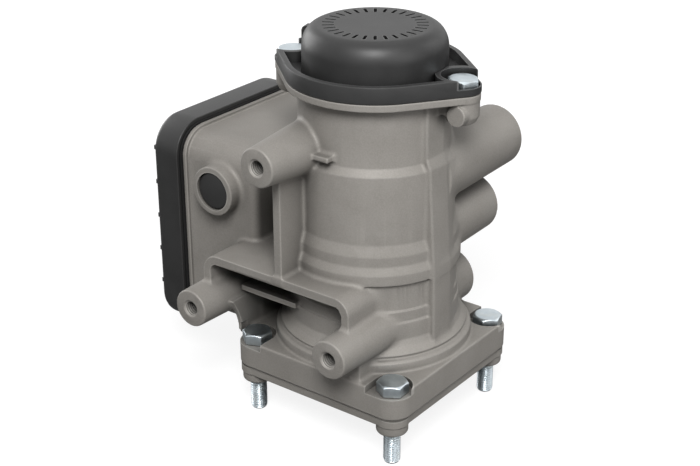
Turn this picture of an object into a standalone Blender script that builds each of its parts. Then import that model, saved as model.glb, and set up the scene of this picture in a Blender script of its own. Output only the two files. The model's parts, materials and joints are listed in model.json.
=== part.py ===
"""Anti-lock brake pressure modulator: cast valve body, silencer, electronics box and the valve inside.

Metres, +Z up. The Z axis is the axis of the round valve body, and z = 0 is the underside of the base
cover. The three mounting bosses face -Y, the electronics lid faces -X and the port bosses face +Y.
"""

import math

import bmesh
import bpy
from mathutils import Matrix, Vector

GAP = 0.0003  # clearance between pieces that touch
OVERLAP = 0.0010  # how far one cast form runs into another
REACH = 0.0020  # how far a cutter runs past the face that it opens

# Facets round a full turn
BODY_STEPS = 40
BORE_STEPS = 24
DOME_STEPS = 30
PORT_STEPS = 24
FRAME_STEPS = 18
INNER_STEPS = 18
BOSS_STEPS = 18
HOLE_STEPS = 10
SCREW_STEPS = 8
PIN_STEPS = 6
COIL_STEPS = 10
SMALL_COIL_STEPS = 6
WIRE_SIDES = 4

# Base cover, base flange and the four long bolts
COVER_T = 0.0048
COVER_INSET = 0.0012
FLANGE_T = 0.0140
BASE_MARGIN = 0.0090
BASE_CORNER_R = 0.0105
STUD_BOSS_R = 0.0075
STUD_BOSS_H = 0.0050
STUD_BOSS_ROUND = 0.0014
STUD_LENGTH = 0.0215
BOLT_R = 0.0040
BOLT_HOLE_R = 0.0045
BOLT_AF = 0.0130
BOLT_HEAD_H = 0.0053
BOLT_TURNS = (math.radians(25), math.radians(-28), math.radians(-16), 0.0)
SPOT_DEPTH = 0.0036
SPOT_R = 0.0092

# Outside of the round body, from the base flange up
FOOT_H = 0.0055
FOOT_STEP = 0.0020
FOOT_GROOVE = 0.0007
CONE_H = 0.0079
CONE_SPREAD = 0.0042
FOOT_OUT = 0.0022
LOW_BAND_STEP = 0.0008
LOW_BAND_H = 0.0090
HIGH_BAND_STEP = 0.0008
HIGH_BAND_H = 0.0056
WAIST_H = 0.0136
LEDGE_STEP = 0.0020
RING_H = 0.0050
RING_SLOPE_H = 0.0040
RING_STEP = 0.0017
BELT_H = 0.0045
BELT_SLOPE_H = 0.0055
BELT_STEP = 0.0018
BARREL_H = 0.0312
NECK_SLOPE_H = 0.0048
BARREL_STEP = 0.0024
NECK_H = 0.0282
NECK_WALL = 0.0073
TOP_FLANGE_T = 0.0034

# Bores inside the body
VALVE_BORE_R = 0.0280
SUPPLY_R = 0.0265
DELIVERY_R = 0.0270
PISTON_WALL = 0.0062
PISTON_TRAVEL = 0.0050
PISTON_HEADROOM = 0.0047
SEAT_Z = 0.0840
SEAT_T = 0.0040
SEAT_LIP_H = 0.0020
SEAT_LIP_T = 0.0020
SEAT_R = 0.0140
GUIDE_Z = 0.1160

# Silencer: dome, frame, bolts and damping pack
DOME_UNDER_NECK = 0.0021
DOME_WALL = 0.0020
DOME_H = 0.0235
DOME_EDGE_R = 0.0075
DOME_EDGE_H = 0.0100
DOME_CROWN = 0.0005
COLLAR_OUT = 0.0030
COLLAR_T = 0.0016
SLOT_COUNT = 30
SLOT_W = 0.0015
SLOT_INNER_R = 0.0183
SLOT_LENGTH = 0.0059
LUG_ANGLE = math.radians(196)
LUG_W = 0.0040
LUG_OUT = 0.0018
LUG_TOP = 0.0038
FRAME_OUT = 0.0078
FRAME_WALL = 0.0026
FRAME_FLOOR_T = 0.0024
FRAME_RIM_H = 0.0052
FRAME_SEAT_T = 0.0016
LOBE_R = 0.0084
LOBE_HEAD_GAP = 0.0003
LOBE_WALL_GAP = 0.0024
LOBE_WALL_T = 0.0022
LOBE_RIM_H = (0.0017, 0.0004)
FRAME_BOLT_GAP = 0.0034
FRAME_BOLT_ANGLE = math.radians(6.5)
FRAME_BOLT_HEAD_H = 0.0042
FRAME_BOLT_LENGTH = 0.0100
BOLT_LUG_H = 0.0145
BOLT_LUG_TAPER = 0.0045
TOP_FLANGE_INSET = 0.0002
SIDE_BOSS_R = 0.0047
SIDE_BOSS_DROP = 0.0090
SIDE_BOSS_X = 0.0021
SIDE_BOSS_Y = 0.0085
PACK_GAP = 0.0004
PACK_AIR = 0.0035
PACK_CORE_R = 0.0150

# Mounting bosses, shelf and webs
BOSS_R = 0.00925
BOSS_FACE_Y = -0.0650
BOSS_LEFT_X = -0.0600
BOSS_RIGHT_X = 0.0223
BOSS_TOP_X = -0.0162
BOSS_LOW_Z = 0.0366
BOSS_RISE = 0.0824
BOSS_TOP_DRAFT = math.tan(math.radians(4.6))
BOSS_LOW_DRAFT = math.tan(math.radians(1.5))
THREAD_R = 0.0034
THREAD_DEPTH = 0.0180
THREAD_CHAMFER = 0.0010
RIB_T = 0.0043
SHELF_Z = 0.0607
SHELF_Y = -0.0525
SHELF_CORNER_R = 0.0085
FIN_T = 0.0033
FIN_Y = -0.0405
FIN_RIGHT = 0.0040
LOW_RIB_Z = 0.0412
LOW_RIB_T = 0.0026
LOW_RIB_Y = -0.0400
WALL_T = 0.0028
FOOT_WEB_W = 0.0095
FOOT_WEB_SETBACK = 0.0015

# Electronics box of the casting
BOX_GAP = 0.0075
BOX_DEPTH = 0.0445
BOX_FRONT_Y = -0.0290
BOX_W = 0.0870
BOX_BOTTOM_Z = 0.0060
BOX_H = 0.1007
BOX_CORNER_R = 0.0120
BOX_EDGE_R = 0.0040
BOX_WALL = 0.0035
LIP_OUT = 0.0018
LIP_T = 0.0022
BOX_SLOPE_RUN = 0.0170
BOX_SLOPE_RISE = 0.0110
BLOCK_TOP_Z = 0.0340
BLOCK_FACE = 0.0075
BLOCK_FLOOR = 0.0080
NECK_BLOCK_Y = (-0.0080, 0.0280)
NECK_BLOCK_Z = (0.0400, 0.1040)
VENT_X = -0.0695
VENT_Z = 0.0847
VENT_R = 0.01225
VENT_BORE_R = 0.0095
VENT_OUT = 0.0075
VENT_SEAT = 0.0060
VENT_AIR_R = 0.0070
VENT_FOOT = 0.0016

# Electronics lid, its seal, screws and connector
LID_GAP = 0.0012
LID_DEPTH = 0.0160
LID_OUT = 0.0029
LID_WALL = 0.0030
LID_TOP_T = 0.0028
LID_EDGE_R = 0.0030
LID_RIB_COUNT = 5
LID_RIB_PITCH = 0.0182
LID_RIB_W = 0.0022
LID_RIB_H = 0.0008
LID_RIB_TOP = 0.0150
SEAL_W = 0.0020
SEAL_INSET = 0.0021
SCREW_INSET = 0.0127
SCREW_POST_R = 0.0042
SCREW_R = 0.0018
SCREW_HOLE_R = 0.0021
SCREW_HEAD_R = 0.0033
SCREW_HEAD_H = 0.0020
SCREW_LENGTH = 0.0220
SOCKET_Y = 0.0220
SOCKET_Z = 0.0530
SOCKET_R = 0.0110
SOCKET_WALL = 0.0022
SOCKET_DEPTH = 0.0150
PIN_R = 0.0010
PIN_HOLE_R = 0.0013
PIN_CIRCLE_R = 0.0050
PIN_OUT = 0.0110

# Circuit board, solenoids and pressure sensor in the box
BOARD_T = 0.0016
BOARD_STANDOFF = 0.0024
BOARD_MARGIN = 0.0100
BOARD_LOW_Z = 0.0190
BOARD_HIGH_Z = 0.0925
BOARD_POST_R = 0.0030
BOARD_POST_INSET = 0.0045
BOARD_SCREW_R = 0.0012
BOARD_HOLE_R = 0.0015
BOARD_SCREW_HEAD_R = 0.0023
COIL_R = 0.0100
COIL_H = 0.0260
COIL_PITCH = 0.0225
COIL_X = -0.0690
COIL_CAP_T = 0.0030
ARMATURE_R = 0.0041
ARMATURE_GAP = 0.0004
ARMATURE_H = 0.0150
ARMATURE_TRAVEL = 0.0010
SENSOR_R = 0.0070
SENSOR_H = 0.0120
SENSOR_Z = 0.0770

# Port bosses: x, end y, z, boss radius, thread radius, passage radius
PORTS = (
    (0.0227, 0.0698, 0.1030, 0.0152, 0.0102, 0.0070),
    (0.0172, 0.0596, 0.0698, 0.0149, 0.0102, 0.0070),
    (0.0119, 0.0498, 0.0321, 0.0141, 0.0072, 0.0045),
)
PORT_DRAFT = math.tan(math.radians(1.0))
PORT_DEPTH = 0.0160
PORT_START_Y = 0.0060
PORT_PASSAGE_Y = 0.0120
PORT_RECESS_R = 0.0124
PORT_RECESS = 0.0010
PORT_WEB_X = (0.0140, 0.0210)
PORT_WEB_BACK = 0.0140

# Flat pad down the right side of the body
PAD_LOW_OUT = 0.0014
PAD_HIGH_OUT = 0.0006
PAD_NECK_OUT = 0.0012
PAD_Y = (-0.0105, 0.0025, 0.0095)
PAD_EDGE = 0.0008
PAD_BACK_DROP = 0.0024
PAD_CORE_X = 0.0300

# Valve inside the body
PISTON_GAP = 0.0004
PISTON_DISC_T = 0.0080
PISTON_STEM_R = 0.0100
PISTON_STEM_WALL = 0.0016
PISTON_GUIDE_R = 0.0080
PISTON_GUIDE_H = 0.0200
PISTON_RECESS_R = 0.0120
PISTON_RECESS_DEPTH = 0.0030
TUBE_R = 0.0120
TUBE_TOP_Z = 0.0380
SEAL_GROOVE_H = 0.0036
SEAL_GROOVE_DEPTH = 0.0030
EXHAUST_GAP = 0.0028
POPPET_R = 0.0190
POPPET_T = 0.0050
POPPET_TUBE_R = 0.0110
POPPET_BORE_R = 0.0080
POPPET_TUBE_H = 0.0290
POPPET_SEAL_INNER_R = 0.0088
POPPET_SEAL_T = 0.0016
GUIDE_T = 0.0100
GUIDE_HUB_R = 0.0140
GUIDE_HUB_H = 0.0120
SNAP_RING_T = 0.0014
SNAP_RING_DEPTH = 0.0013
SNAP_RING_W = 0.0032
SNAP_RING_OPENING = math.radians(24)
BASE_SEAL_W = 0.0024
BASE_SEAL_DEPTH = 0.0015
REGISTER_H = 0.0030
REGISTER_T = 0.0030

SPRING_WIRE_R = 0.0008
SPRING_TURNS = 4.5
SMALL_SPRING_WIRE_R = 0.00035
SMALL_SPRING_R = 0.0026
SMALL_SPRING_TURNS = 3.5

# Places and sizes that follow from the values above
FLANGE_Z = COVER_T + GAP
FLANGE_TOP = FLANGE_Z + FLANGE_T
NECK_R = VALVE_BORE_R + NECK_WALL
BARREL_R = NECK_R + BARREL_STEP
BELT_R = BARREL_R + BELT_STEP
RING_R = BELT_R + RING_STEP
WAIST_R = RING_R - LEDGE_STEP
HIGH_BAND_R = WAIST_R + HIGH_BAND_STEP
LOW_BAND_R = HIGH_BAND_R + LOW_BAND_STEP
CONE_R = LOW_BAND_R + CONE_SPREAD
FOOT_R = CONE_R + FOOT_OUT
PISTON_BORE_R = WAIST_R - PISTON_WALL
CONE_Z = FLANGE_TOP + FOOT_H + FOOT_STEP
LOW_BAND_Z = CONE_Z + CONE_H - FOOT_STEP
HIGH_BAND_Z = LOW_BAND_Z + LOW_BAND_H
WAIST_Z = HIGH_BAND_Z + HIGH_BAND_H
LEDGE_Z = WAIST_Z + WAIST_H
BELT_Z = LEDGE_Z + RING_H + RING_SLOPE_H
BARREL_Z = BELT_Z + BELT_H + BELT_SLOPE_H
NECK_Z = BARREL_Z + BARREL_H + NECK_SLOPE_H
TOP_FLANGE_Z = NECK_Z + NECK_H
TOP_Z = TOP_FLANGE_Z + TOP_FLANGE_T
BOLT_CORNER_R = BOLT_AF / math.sqrt(3)
BOLT_HALF = (FOOT_R + FOOT_OUT + BOLT_CORNER_R) / math.sqrt(2)
BASE_HALF = BOLT_HALF + BASE_MARGIN
SPOT_Z = FLANGE_TOP - SPOT_DEPTH
DOME_R = NECK_R - DOME_UNDER_NECK
DOME_Z = TOP_Z + GAP
COLLAR_R = DOME_R + COLLAR_OUT
FRAME_R = DOME_R + FRAME_OUT
FRAME_BOLT_D = DOME_R + FRAME_BOLT_GAP + BOLT_CORNER_R
FRAME_FLOOR_Z = DOME_Z + FRAME_FLOOR_T
FRAME_SEAT_Z = DOME_Z + FRAME_SEAT_T
FRAME_TOP_Z = FRAME_FLOOR_Z + FRAME_RIM_H
BOX_INNER_X = -(RING_R + BOX_GAP)
BOX_RIM_X = BOX_INNER_X - BOX_DEPTH
BOX_FLOOR_X = BOX_INNER_X - BOX_WALL
BOX_BACK_Y = BOX_FRONT_Y + BOX_W
BOX_TOP_Z = BOX_BOTTOM_Z + BOX_H
BLOCK_FACE_X = BOX_RIM_X + BLOCK_FACE
VENT_Y = BOX_FRONT_Y - VENT_OUT
LID_RIM_X = BOX_RIM_X - LID_GAP
LID_X = LID_RIM_X - LID_DEPTH
BOARD_X = BLOCK_FACE_X - BOARD_STANDOFF
BOSSES = (
    (BOSS_TOP_X, BOSS_LOW_Z + BOSS_RISE, BOSS_TOP_DRAFT),
    (BOSS_LEFT_X, BOSS_LOW_Z, BOSS_LOW_DRAFT),
    (BOSS_RIGHT_X, BOSS_LOW_Z, BOSS_LOW_DRAFT),
)
PISTON_Z = TUBE_TOP_Z + GAP
PISTON_TOP = PISTON_Z + PISTON_DISC_T
PISTON_R = PISTON_BORE_R - PISTON_GAP
PISTON_ROOF_Z = PISTON_TOP + PISTON_TRAVEL + PISTON_HEADROOM
POPPET_Z = SEAT_Z + SEAT_T + SEAT_LIP_H + GAP
GUIDE_R = VALVE_BORE_R - GAP
SNAP_RING_Z = GUIDE_Z + GAP + GUIDE_T + GAP


def clear_scene():
    for obj in list(bpy.data.objects):
        bpy.data.objects.remove(obj)


def material(name, colour, roughness, metallic):
    made = bpy.data.materials.new(name)
    made.use_nodes = True
    shader = made.node_tree.nodes["Principled BSDF"]
    shader.inputs["Base Color"].default_value = (*colour, 1.0)
    shader.inputs["Roughness"].default_value = roughness
    shader.inputs["Metallic"].default_value = metallic
    return made


def cast_metal(name):
    return material(name, (0.27, 0.26, 0.24), 0.55, 0.7)


def zinc(name):
    return material(name, (0.62, 0.66, 0.68), 0.3, 0.9)


def black_plastic(name):
    return material(name, (0.045, 0.045, 0.045), 0.5, 0.0)


def rubber(name):
    return material(name, (0.015, 0.015, 0.015), 0.8, 0.0)


def steel(name):
    return material(name, (0.5, 0.5, 0.5), 0.35, 1.0)


def brass(name):
    return material(name, (0.75, 0.6, 0.3), 0.25, 1.0)


def coil_plastic(name):
    return material(name, (0.08, 0.08, 0.09), 0.45, 0.1)


def laminate(name):
    return material(name, (0.02, 0.16, 0.06), 0.5, 0.0)


def damping_fibre(name):
    return material(name, (0.03, 0.03, 0.03), 0.9, 0.0)


def turned_metal(name):
    return material(name, (0.6, 0.6, 0.58), 0.35, 0.9)


# Drawing helpers: each returns points or a bmesh


def arc(centre, radius, start, end, steps):
    """Points on a circle from one angle to another, both ends included."""
    turns = (start + (end - start) * i / steps for i in range(steps + 1))
    return [(centre[0] + radius * math.cos(a), centre[1] + radius * math.sin(a)) for a in turns]


def rounded_rect(low, high, radius, inset=0.0, steps=4):
    """A rectangle with round corners, counter-clockwise, drawn inset from its full size."""
    left, bottom = low[0] + inset, low[1] + inset
    right, top = high[0] - inset, high[1] - inset
    r = max(radius - inset, 0.0005)
    quarter = math.pi / 2
    corners = (
        (right - r, bottom + r, -quarter),
        (right - r, top - r, 0.0),
        (left + r, top - r, quarter),
        (left + r, bottom + r, 2 * quarter),
    )
    points = []
    for u, v, start in corners:
        points += arc((u, v), r, start, start + quarter, steps)
    return points


def lobed_outline(inset):
    """The silencer's outline: a round middle joined by straight sides to a lobe at each bolt."""
    middle_r, lobe_r = FRAME_R - inset, LOBE_R - inset
    spread = math.acos((middle_r - lobe_r) / FRAME_BOLT_D)
    points = []
    for centre, turn in zip(frame_bolt_places(), (0.0, math.pi)):
        angle = FRAME_BOLT_ANGLE + turn
        points += arc(centre, lobe_r, angle - spread, angle + spread, 6)
        points += arc((0, 0), middle_r, angle + spread, angle + math.pi - spread, 10)
    return points


def frame_bolt_places():
    x = FRAME_BOLT_D * math.cos(FRAME_BOLT_ANGLE)
    y = FRAME_BOLT_D * math.sin(FRAME_BOLT_ANGLE)
    return (x, y), (-x, -y)


def base_bolt_places():
    return [(sx * BOLT_HALF, sy * BOLT_HALF) for sx, sy in ((-1, -1), (1, -1), (1, 1), (-1, 1))]


AXIS_TURNS = {
    "X": Matrix.Rotation(math.pi / 2, 4, "Y"),
    "Y": Matrix.Rotation(-math.pi / 2, 4, "X"),
    "Z": Matrix.Identity(4),
}


def turned(profile, steps, centre=(0, 0, 0), axis="Z"):
    """A closed profile of (radius, height) points spun about an axis through the centre."""
    bm = bmesh.new()
    verts = [bm.verts.new((r, 0, h)) for r, h in profile]
    edges = []
    for first, second in zip(verts, verts[1:] + verts[:1]):
        if first.co.x > 0 or second.co.x > 0:
            edges.append(bm.edges.new((first, second)))
    bmesh.ops.spin(bm, geom=verts + edges, cent=(0, 0, 0), axis=(0, 0, 1), angle=2 * math.pi, steps=steps)
    bmesh.ops.remove_doubles(bm, verts=bm.verts, dist=1e-7)
    bmesh.ops.transform(bm, matrix=Matrix.Translation(centre) @ AXIS_TURNS[axis], verts=bm.verts)
    return bm


def rod(radius, low, high, steps, centre=(0, 0), axis="Z", end_radius=None):
    """A cylinder, or a cone where the end radius differs, from low to high along an axis."""
    last = radius if end_radius is None else end_radius
    places = {"X": (0, *centre), "Y": (centre[0], 0, centre[1]), "Z": (*centre, 0)}
    profile = [(0, low), (radius, low), (last, high), (0, high)]
    return turned(profile, steps, places[axis], axis)


def placed(point, height, axis):
    u, v = point
    return {"X": (height, u, v), "Y": (u, height, v), "Z": (u, v, height)}[axis]


def lofted(rings):
    """Rings with the same count of points, joined one to the next and closed at both ends."""
    bm = bmesh.new()
    rows = [[bm.verts.new(point) for point in ring] for ring in rings]
    for low, high in zip(rows, rows[1:]):
        for i, corner in enumerate(low):
            bm.faces.new((low[i - 1], corner, high[i], high[i - 1]))
    bm.faces.new(rows[0])
    bm.faces.new(rows[-1])
    return bm


def prism(outline, low, high, axis="Z"):
    """An outline drawn across an axis and run from low to high along it."""
    return lofted([[placed(point, height, axis) for point in outline] for height in (low, high)])


def brick(low, high):
    outline = [(low[0], low[1]), (high[0], low[1]), (high[0], high[1]), (low[0], high[1])]
    return prism(outline, low[2], high[2])


def merged(forms):
    """Separate closed forms held in one bmesh."""
    whole = bmesh.new()
    for form in forms:
        mesh = bpy.data.meshes.new("form")
        form.to_mesh(mesh)
        form.free()
        whole.from_mesh(mesh)
        bpy.data.meshes.remove(mesh)
    return whole


def ring_profile(inner, outer, low, high):
    return [(inner, low), (outer, low), (outer, high), (inner, high)]


def coil(radius, wire_r, low, high, turns, steps):
    """A helical spring with its wire's centre line from low to high."""
    rings = []
    count = round(turns * steps)
    for i in range(count + 1):
        angle = 2 * math.pi * i / steps
        outward = Vector((math.cos(angle), math.sin(angle), 0))
        centre = radius * outward + Vector((0, 0, low + (high - low) * i / count))
        sides = arc((0, 0), wire_r, 0, 2 * math.pi, WIRE_SIDES)[:-1]
        rings.append([centre + out * outward + Vector((0, 0, up)) for out, up in sides])
    return lofted(rings)


def solid(name, bm, finish=None, location=(0, 0, 0)):
    """An object from a bmesh, with its faces out, its origin at the location and its own material."""
    bmesh.ops.recalc_face_normals(bm, faces=bm.faces)
    bmesh.ops.translate(bm, vec=-Vector(location), verts=bm.verts)
    mesh = bpy.data.meshes.new(name)
    bm.to_mesh(mesh)
    bm.free()
    mesh.shade_smooth()
    mesh.set_sharp_from_angle(angle=math.radians(32))
    obj = bpy.data.objects.new(name, mesh)
    obj.location = location
    bpy.context.collection.objects.link(obj)
    if finish:
        obj.data.materials.append(finish(name))
    return obj


def boolean(target, operation, *tools):
    """Joins, cuts or intersects the target with each tool, which is itself left out of the model."""
    for tool in tools:
        modifier = target.modifiers.new(tool.name, "BOOLEAN")
        modifier.operation = operation
        modifier.object = tool
        tool.hide_render = True
        tool.display_type = "WIRE"


# Valve body casting


def body_profile():
    """The round body's outside, from inside the base flange up to the top flange."""
    bottom = FLANGE_Z + OVERLAP
    ring_top = FLANGE_TOP + FOOT_H
    return [
        (0, bottom),
        (FOOT_R, bottom),
        (FOOT_R, ring_top - FOOT_OUT / 2),
        (FOOT_R - FOOT_OUT / 2, ring_top),
        (CONE_R - FOOT_GROOVE, ring_top + FOOT_GROOVE),
        (CONE_R - FOOT_GROOVE, CONE_Z - FOOT_GROOVE),
        (CONE_R, CONE_Z),
        (LOW_BAND_R + CONE_SPREAD / 3, CONE_Z + (CONE_H - FOOT_STEP) / 2),
        (LOW_BAND_R, LOW_BAND_Z),
        (LOW_BAND_R, HIGH_BAND_Z - LOW_BAND_STEP),
        (HIGH_BAND_R, HIGH_BAND_Z),
        (HIGH_BAND_R, WAIST_Z - HIGH_BAND_STEP),
        (WAIST_R, WAIST_Z),
        (WAIST_R, LEDGE_Z - GAP),
        (RING_R, LEDGE_Z),
        (RING_R, LEDGE_Z + RING_H),
        (BELT_R, BELT_Z),
        (BELT_R, BELT_Z + BELT_H),
        (BARREL_R, BARREL_Z),
        (BARREL_R, NECK_Z - NECK_SLOPE_H),
        (NECK_R, NECK_Z),
        (NECK_R, TOP_Z - OVERLAP / 2),
        (0, TOP_Z - OVERLAP / 2),
    ]


def bore_profile():
    """The space inside the body: piston bore, delivery chamber, inlet seat, supply chamber and guide bore."""
    lip_top = SEAT_Z + SEAT_T + SEAT_LIP_H
    snap_top = SNAP_RING_Z + SNAP_RING_T + 2 * GAP
    return [
        (0, FLANGE_Z - REACH),
        (PISTON_BORE_R, FLANGE_Z - REACH),
        (PISTON_BORE_R, PISTON_ROOF_Z),
        (DELIVERY_R, PISTON_ROOF_Z + REACH),
        (DELIVERY_R, SEAT_Z),
        (SEAT_R, SEAT_Z),
        (SEAT_R, lip_top),
        (SEAT_R + SEAT_LIP_T, lip_top),
        (SEAT_R + SEAT_LIP_T, SEAT_Z + SEAT_T),
        (SUPPLY_R, SEAT_Z + SEAT_T),
        (SUPPLY_R, GUIDE_Z),
        (VALVE_BORE_R, GUIDE_Z),
        (VALVE_BORE_R, SNAP_RING_Z - GAP),
        (VALVE_BORE_R + SNAP_RING_DEPTH, SNAP_RING_Z - GAP),
        (VALVE_BORE_R + SNAP_RING_DEPTH, snap_top),
        (VALVE_BORE_R, snap_top),
        (VALVE_BORE_R, TOP_Z + REACH),
        (0, TOP_Z + REACH),
    ]


def side_pad():
    """The flat pad down the right side, which leans out towards the base and steps back at the neck."""
    levels = (
        (FLANGE_TOP - OVERLAP, RING_R + PAD_LOW_OUT),
        (LEDGE_Z, RING_R + PAD_HIGH_OUT),
        (NECK_Z - NECK_SLOPE_H / 2, BARREL_R + PAD_HIGH_OUT),
        (NECK_Z + NECK_SLOPE_H / 2, NECK_R + PAD_NECK_OUT),
        (TOP_Z - OVERLAP, NECK_R + PAD_NECK_OUT / 2),
    )
    front, ridge, back = PAD_Y
    rings = []
    for z, x in levels:
        section = [
            (PAD_CORE_X, front),
            (x - PAD_EDGE, front),
            (x, front + PAD_EDGE),
            (x, ridge),
            (x - PAD_BACK_DROP, back),
            (PAD_CORE_X, back + PAD_EDGE),
        ]
        rings.append([(u, v, z) for u, v in section])
    return lofted(rings)


def base_flange():
    low, high = (-BASE_HALF, -BASE_HALF), (BASE_HALF, BASE_HALF)
    edge = 0.0006
    rings = []
    for z, inset in ((FLANGE_Z, 0), (FLANGE_TOP - edge, 0), (FLANGE_TOP, edge)):
        outline = rounded_rect(low, high, BASE_CORNER_R, inset)
        rings.append([placed(point, z, "Z") for point in outline])
    return lofted(rings)


def bolt_lugs():
    """Round lugs under the top flange that take the silencer's bolts."""
    bottom = TOP_Z - BOLT_LUG_H
    radius = LOBE_R - TOP_FLANGE_INSET - GAP
    profile = [
        (0, bottom),
        (radius * 0.55, bottom),
        (radius * 0.87, bottom + BOLT_LUG_TAPER * 0.4),
        (radius, bottom + BOLT_LUG_TAPER),
        (radius, TOP_Z - OVERLAP),
        (0, TOP_Z - OVERLAP),
    ]
    return merged([turned(profile, 14, (x, y, 0)) for x, y in frame_bolt_places()])


def lug_bridges():
    """Material between each lug and the round neck."""
    forms = []
    half = LOBE_R * 0.8
    for x, y in frame_bolt_places():
        along = Vector((x, y)).normalized()
        across = Vector((-along.y, along.x)) * half
        inner = along * (VALVE_BORE_R + OVERLAP)
        outer = Vector((x, y))
        outline = [inner - across, outer - across, outer + across, inner + across]
        points = [(p.x, p.y) for p in outline]
        forms.append(prism(points, TOP_Z - BOLT_LUG_H + BOLT_LUG_TAPER, TOP_Z - OVERLAP))
    return merged(forms)


def side_boss():
    """The small round boss on the front of the right lug."""
    x, y = frame_bolt_places()[0]
    centre = (x + SIDE_BOSS_X, TOP_Z - SIDE_BOSS_DROP)
    return rod(SIDE_BOSS_R, y - SIDE_BOSS_Y, y, HOLE_STEPS, centre, "Y")


def mounting_bosses():
    forms = []
    for x, z, draft in BOSSES:
        length = -BOSS_FACE_Y + BOX_FRONT_Y + REACH
        if x > BOX_INNER_X:
            length = -BOSS_FACE_Y - DELIVERY_R * 0.6
        end = BOSS_FACE_Y + length
        forms.append(rod(BOSS_R, BOSS_FACE_Y, end, BOSS_STEPS, (x, z), "Y", BOSS_R + draft * length))
    return merged(forms)


def shelf_arch():
    """The shelf and its two legs, one inverted U with round shoulders, from its front edge to the body."""
    half = RIB_T / 2
    left, right = BOSS_LEFT_X - half, BOSS_RIGHT_X + half
    r = SHELF_CORNER_R
    quarter = math.pi / 2
    shoulder = SHELF_Z - r
    outer = arc((right - r, shoulder), r, 0, quarter, 5)
    outer += arc((left + r, shoulder), r, quarter, math.pi, 5)
    inner = arc((left + r, shoulder), r - RIB_T, math.pi, quarter, 5)
    inner += arc((right - r, shoulder), r - RIB_T, quarter, 0, 5)
    outline = [(right, BOSS_LOW_Z), *outer, (left, BOSS_LOW_Z)]
    outline += [(left + RIB_T, BOSS_LOW_Z), *inner, (right - RIB_T, BOSS_LOW_Z)]
    return prism(outline, SHELF_Y, -DELIVERY_R * 0.4, "Y")


def boss_web():
    """The upright web from the shelf to the top mounting boss."""
    half = RIB_T / 2
    low = (BOSS_TOP_X - half, SHELF_Y + GAP, SHELF_Z - RIB_T / 2)
    high = (BOSS_TOP_X + half, -DELIVERY_R * 0.6, BOSS_LOW_Z + BOSS_RISE)
    return brick(low, high)


def boss_fin():
    """The short level fin on the right of the top boss, at its parting line."""
    z = BOSS_LOW_Z + BOSS_RISE
    return brick((BOSS_TOP_X, FIN_Y, z - FIN_T / 2), (FIN_RIGHT, -DELIVERY_R, z + FIN_T / 2))


def low_rib():
    """The level rib under the shelf, from the box to the body."""
    low = (BOX_INNER_X - OVERLAP, LOW_RIB_Y, LOW_RIB_Z - LOW_RIB_T / 2)
    return brick(low, (BOSS_TOP_X, -DELIVERY_R * 0.4, LOW_RIB_Z + LOW_RIB_T / 2))


def foot_web():
    """The web that carries the right low boss on the base flange."""
    half = FOOT_WEB_W / 2
    low = (BOSS_RIGHT_X - half, -BASE_HALF + FOOT_WEB_SETBACK, FLANGE_TOP - OVERLAP)
    return brick(low, (BOSS_RIGHT_X + half, -PISTON_BORE_R * 0.8, BOSS_LOW_Z))


def base_wall():
    """The wall from the box down to the base flange, with a hollow front edge."""
    foot = -BOLT_HALF - OVERLAP
    top_y = SHELF_Y + RIB_T
    rise = BOSS_LOW_Z - FLANGE_TOP
    front = [(foot, FLANGE_TOP - OVERLAP)]
    for i in range(5):
        t = i / 4
        front.append((foot + (top_y - foot) * t**1.7, FLANGE_TOP + rise * t))
    back_y = -DELIVERY_R * 0.4
    top = BOSS_LOW_Z + BOSS_R
    outline = front + [(BOX_FRONT_Y, top), (back_y, top), (back_y, FLANGE_TOP - OVERLAP)]
    centre = -BASE_HALF - WALL_T / 4
    return prism(outline, centre - WALL_T / 2, centre + WALL_T / 2, "X")


def electronics_box():
    """The box outside: straight walls, a rounded inner end and a bottom that slopes up to the body."""
    low, high = (BOX_FRONT_Y, BOX_BOTTOM_Z), (BOX_BACK_Y, BOX_TOP_Z)
    rings = []
    ends = (
        (BOX_RIM_X + LIP_T / 2, 0.0),
        (BOX_INNER_X - BOX_EDGE_R, 0.0),
        (BOX_INNER_X - BOX_EDGE_R * 0.3, BOX_EDGE_R * 0.3),
        (BOX_INNER_X, BOX_EDGE_R),
    )
    for x, inset in ends:
        outline = rounded_rect(low, high, BOX_CORNER_R, inset)
        rings.append([placed(point, x, "X") for point in outline])
    return lofted(rings)


def box_slope_cutter():
    start = BOX_RIM_X + LIP_T
    below = BOX_BOTTOM_Z - REACH
    outline = [
        (start, below),
        (start, BOX_BOTTOM_Z),
        (start + BOX_SLOPE_RUN, BOX_BOTTOM_Z + BOX_SLOPE_RISE),
        (BOX_INNER_X + REACH, BOX_BOTTOM_Z + BOX_SLOPE_RISE),
        (BOX_INNER_X + REACH, below),
    ]
    return prism(outline, BOX_FRONT_Y - REACH, BOX_BACK_Y + REACH, "Y")


def box_lip():
    low = (BOX_FRONT_Y - LIP_OUT, BOX_BOTTOM_Z - LIP_OUT)
    high = (BOX_BACK_Y + LIP_OUT, BOX_TOP_Z + LIP_OUT)
    outline = rounded_rect(low, high, BOX_CORNER_R + LIP_OUT)
    return prism(outline, BOX_RIM_X, BOX_RIM_X + LIP_T, "X")


def neck_block():
    """The solid link between the box and the round body."""
    low, high = (NECK_BLOCK_Y[0], NECK_BLOCK_Z[0]), (NECK_BLOCK_Y[1], NECK_BLOCK_Z[1])
    outline = rounded_rect(low, high, BOX_CORNER_R * 0.6, 0, 3)
    return prism(outline, BOX_INNER_X - OVERLAP, -DELIVERY_R, "X")


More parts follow.
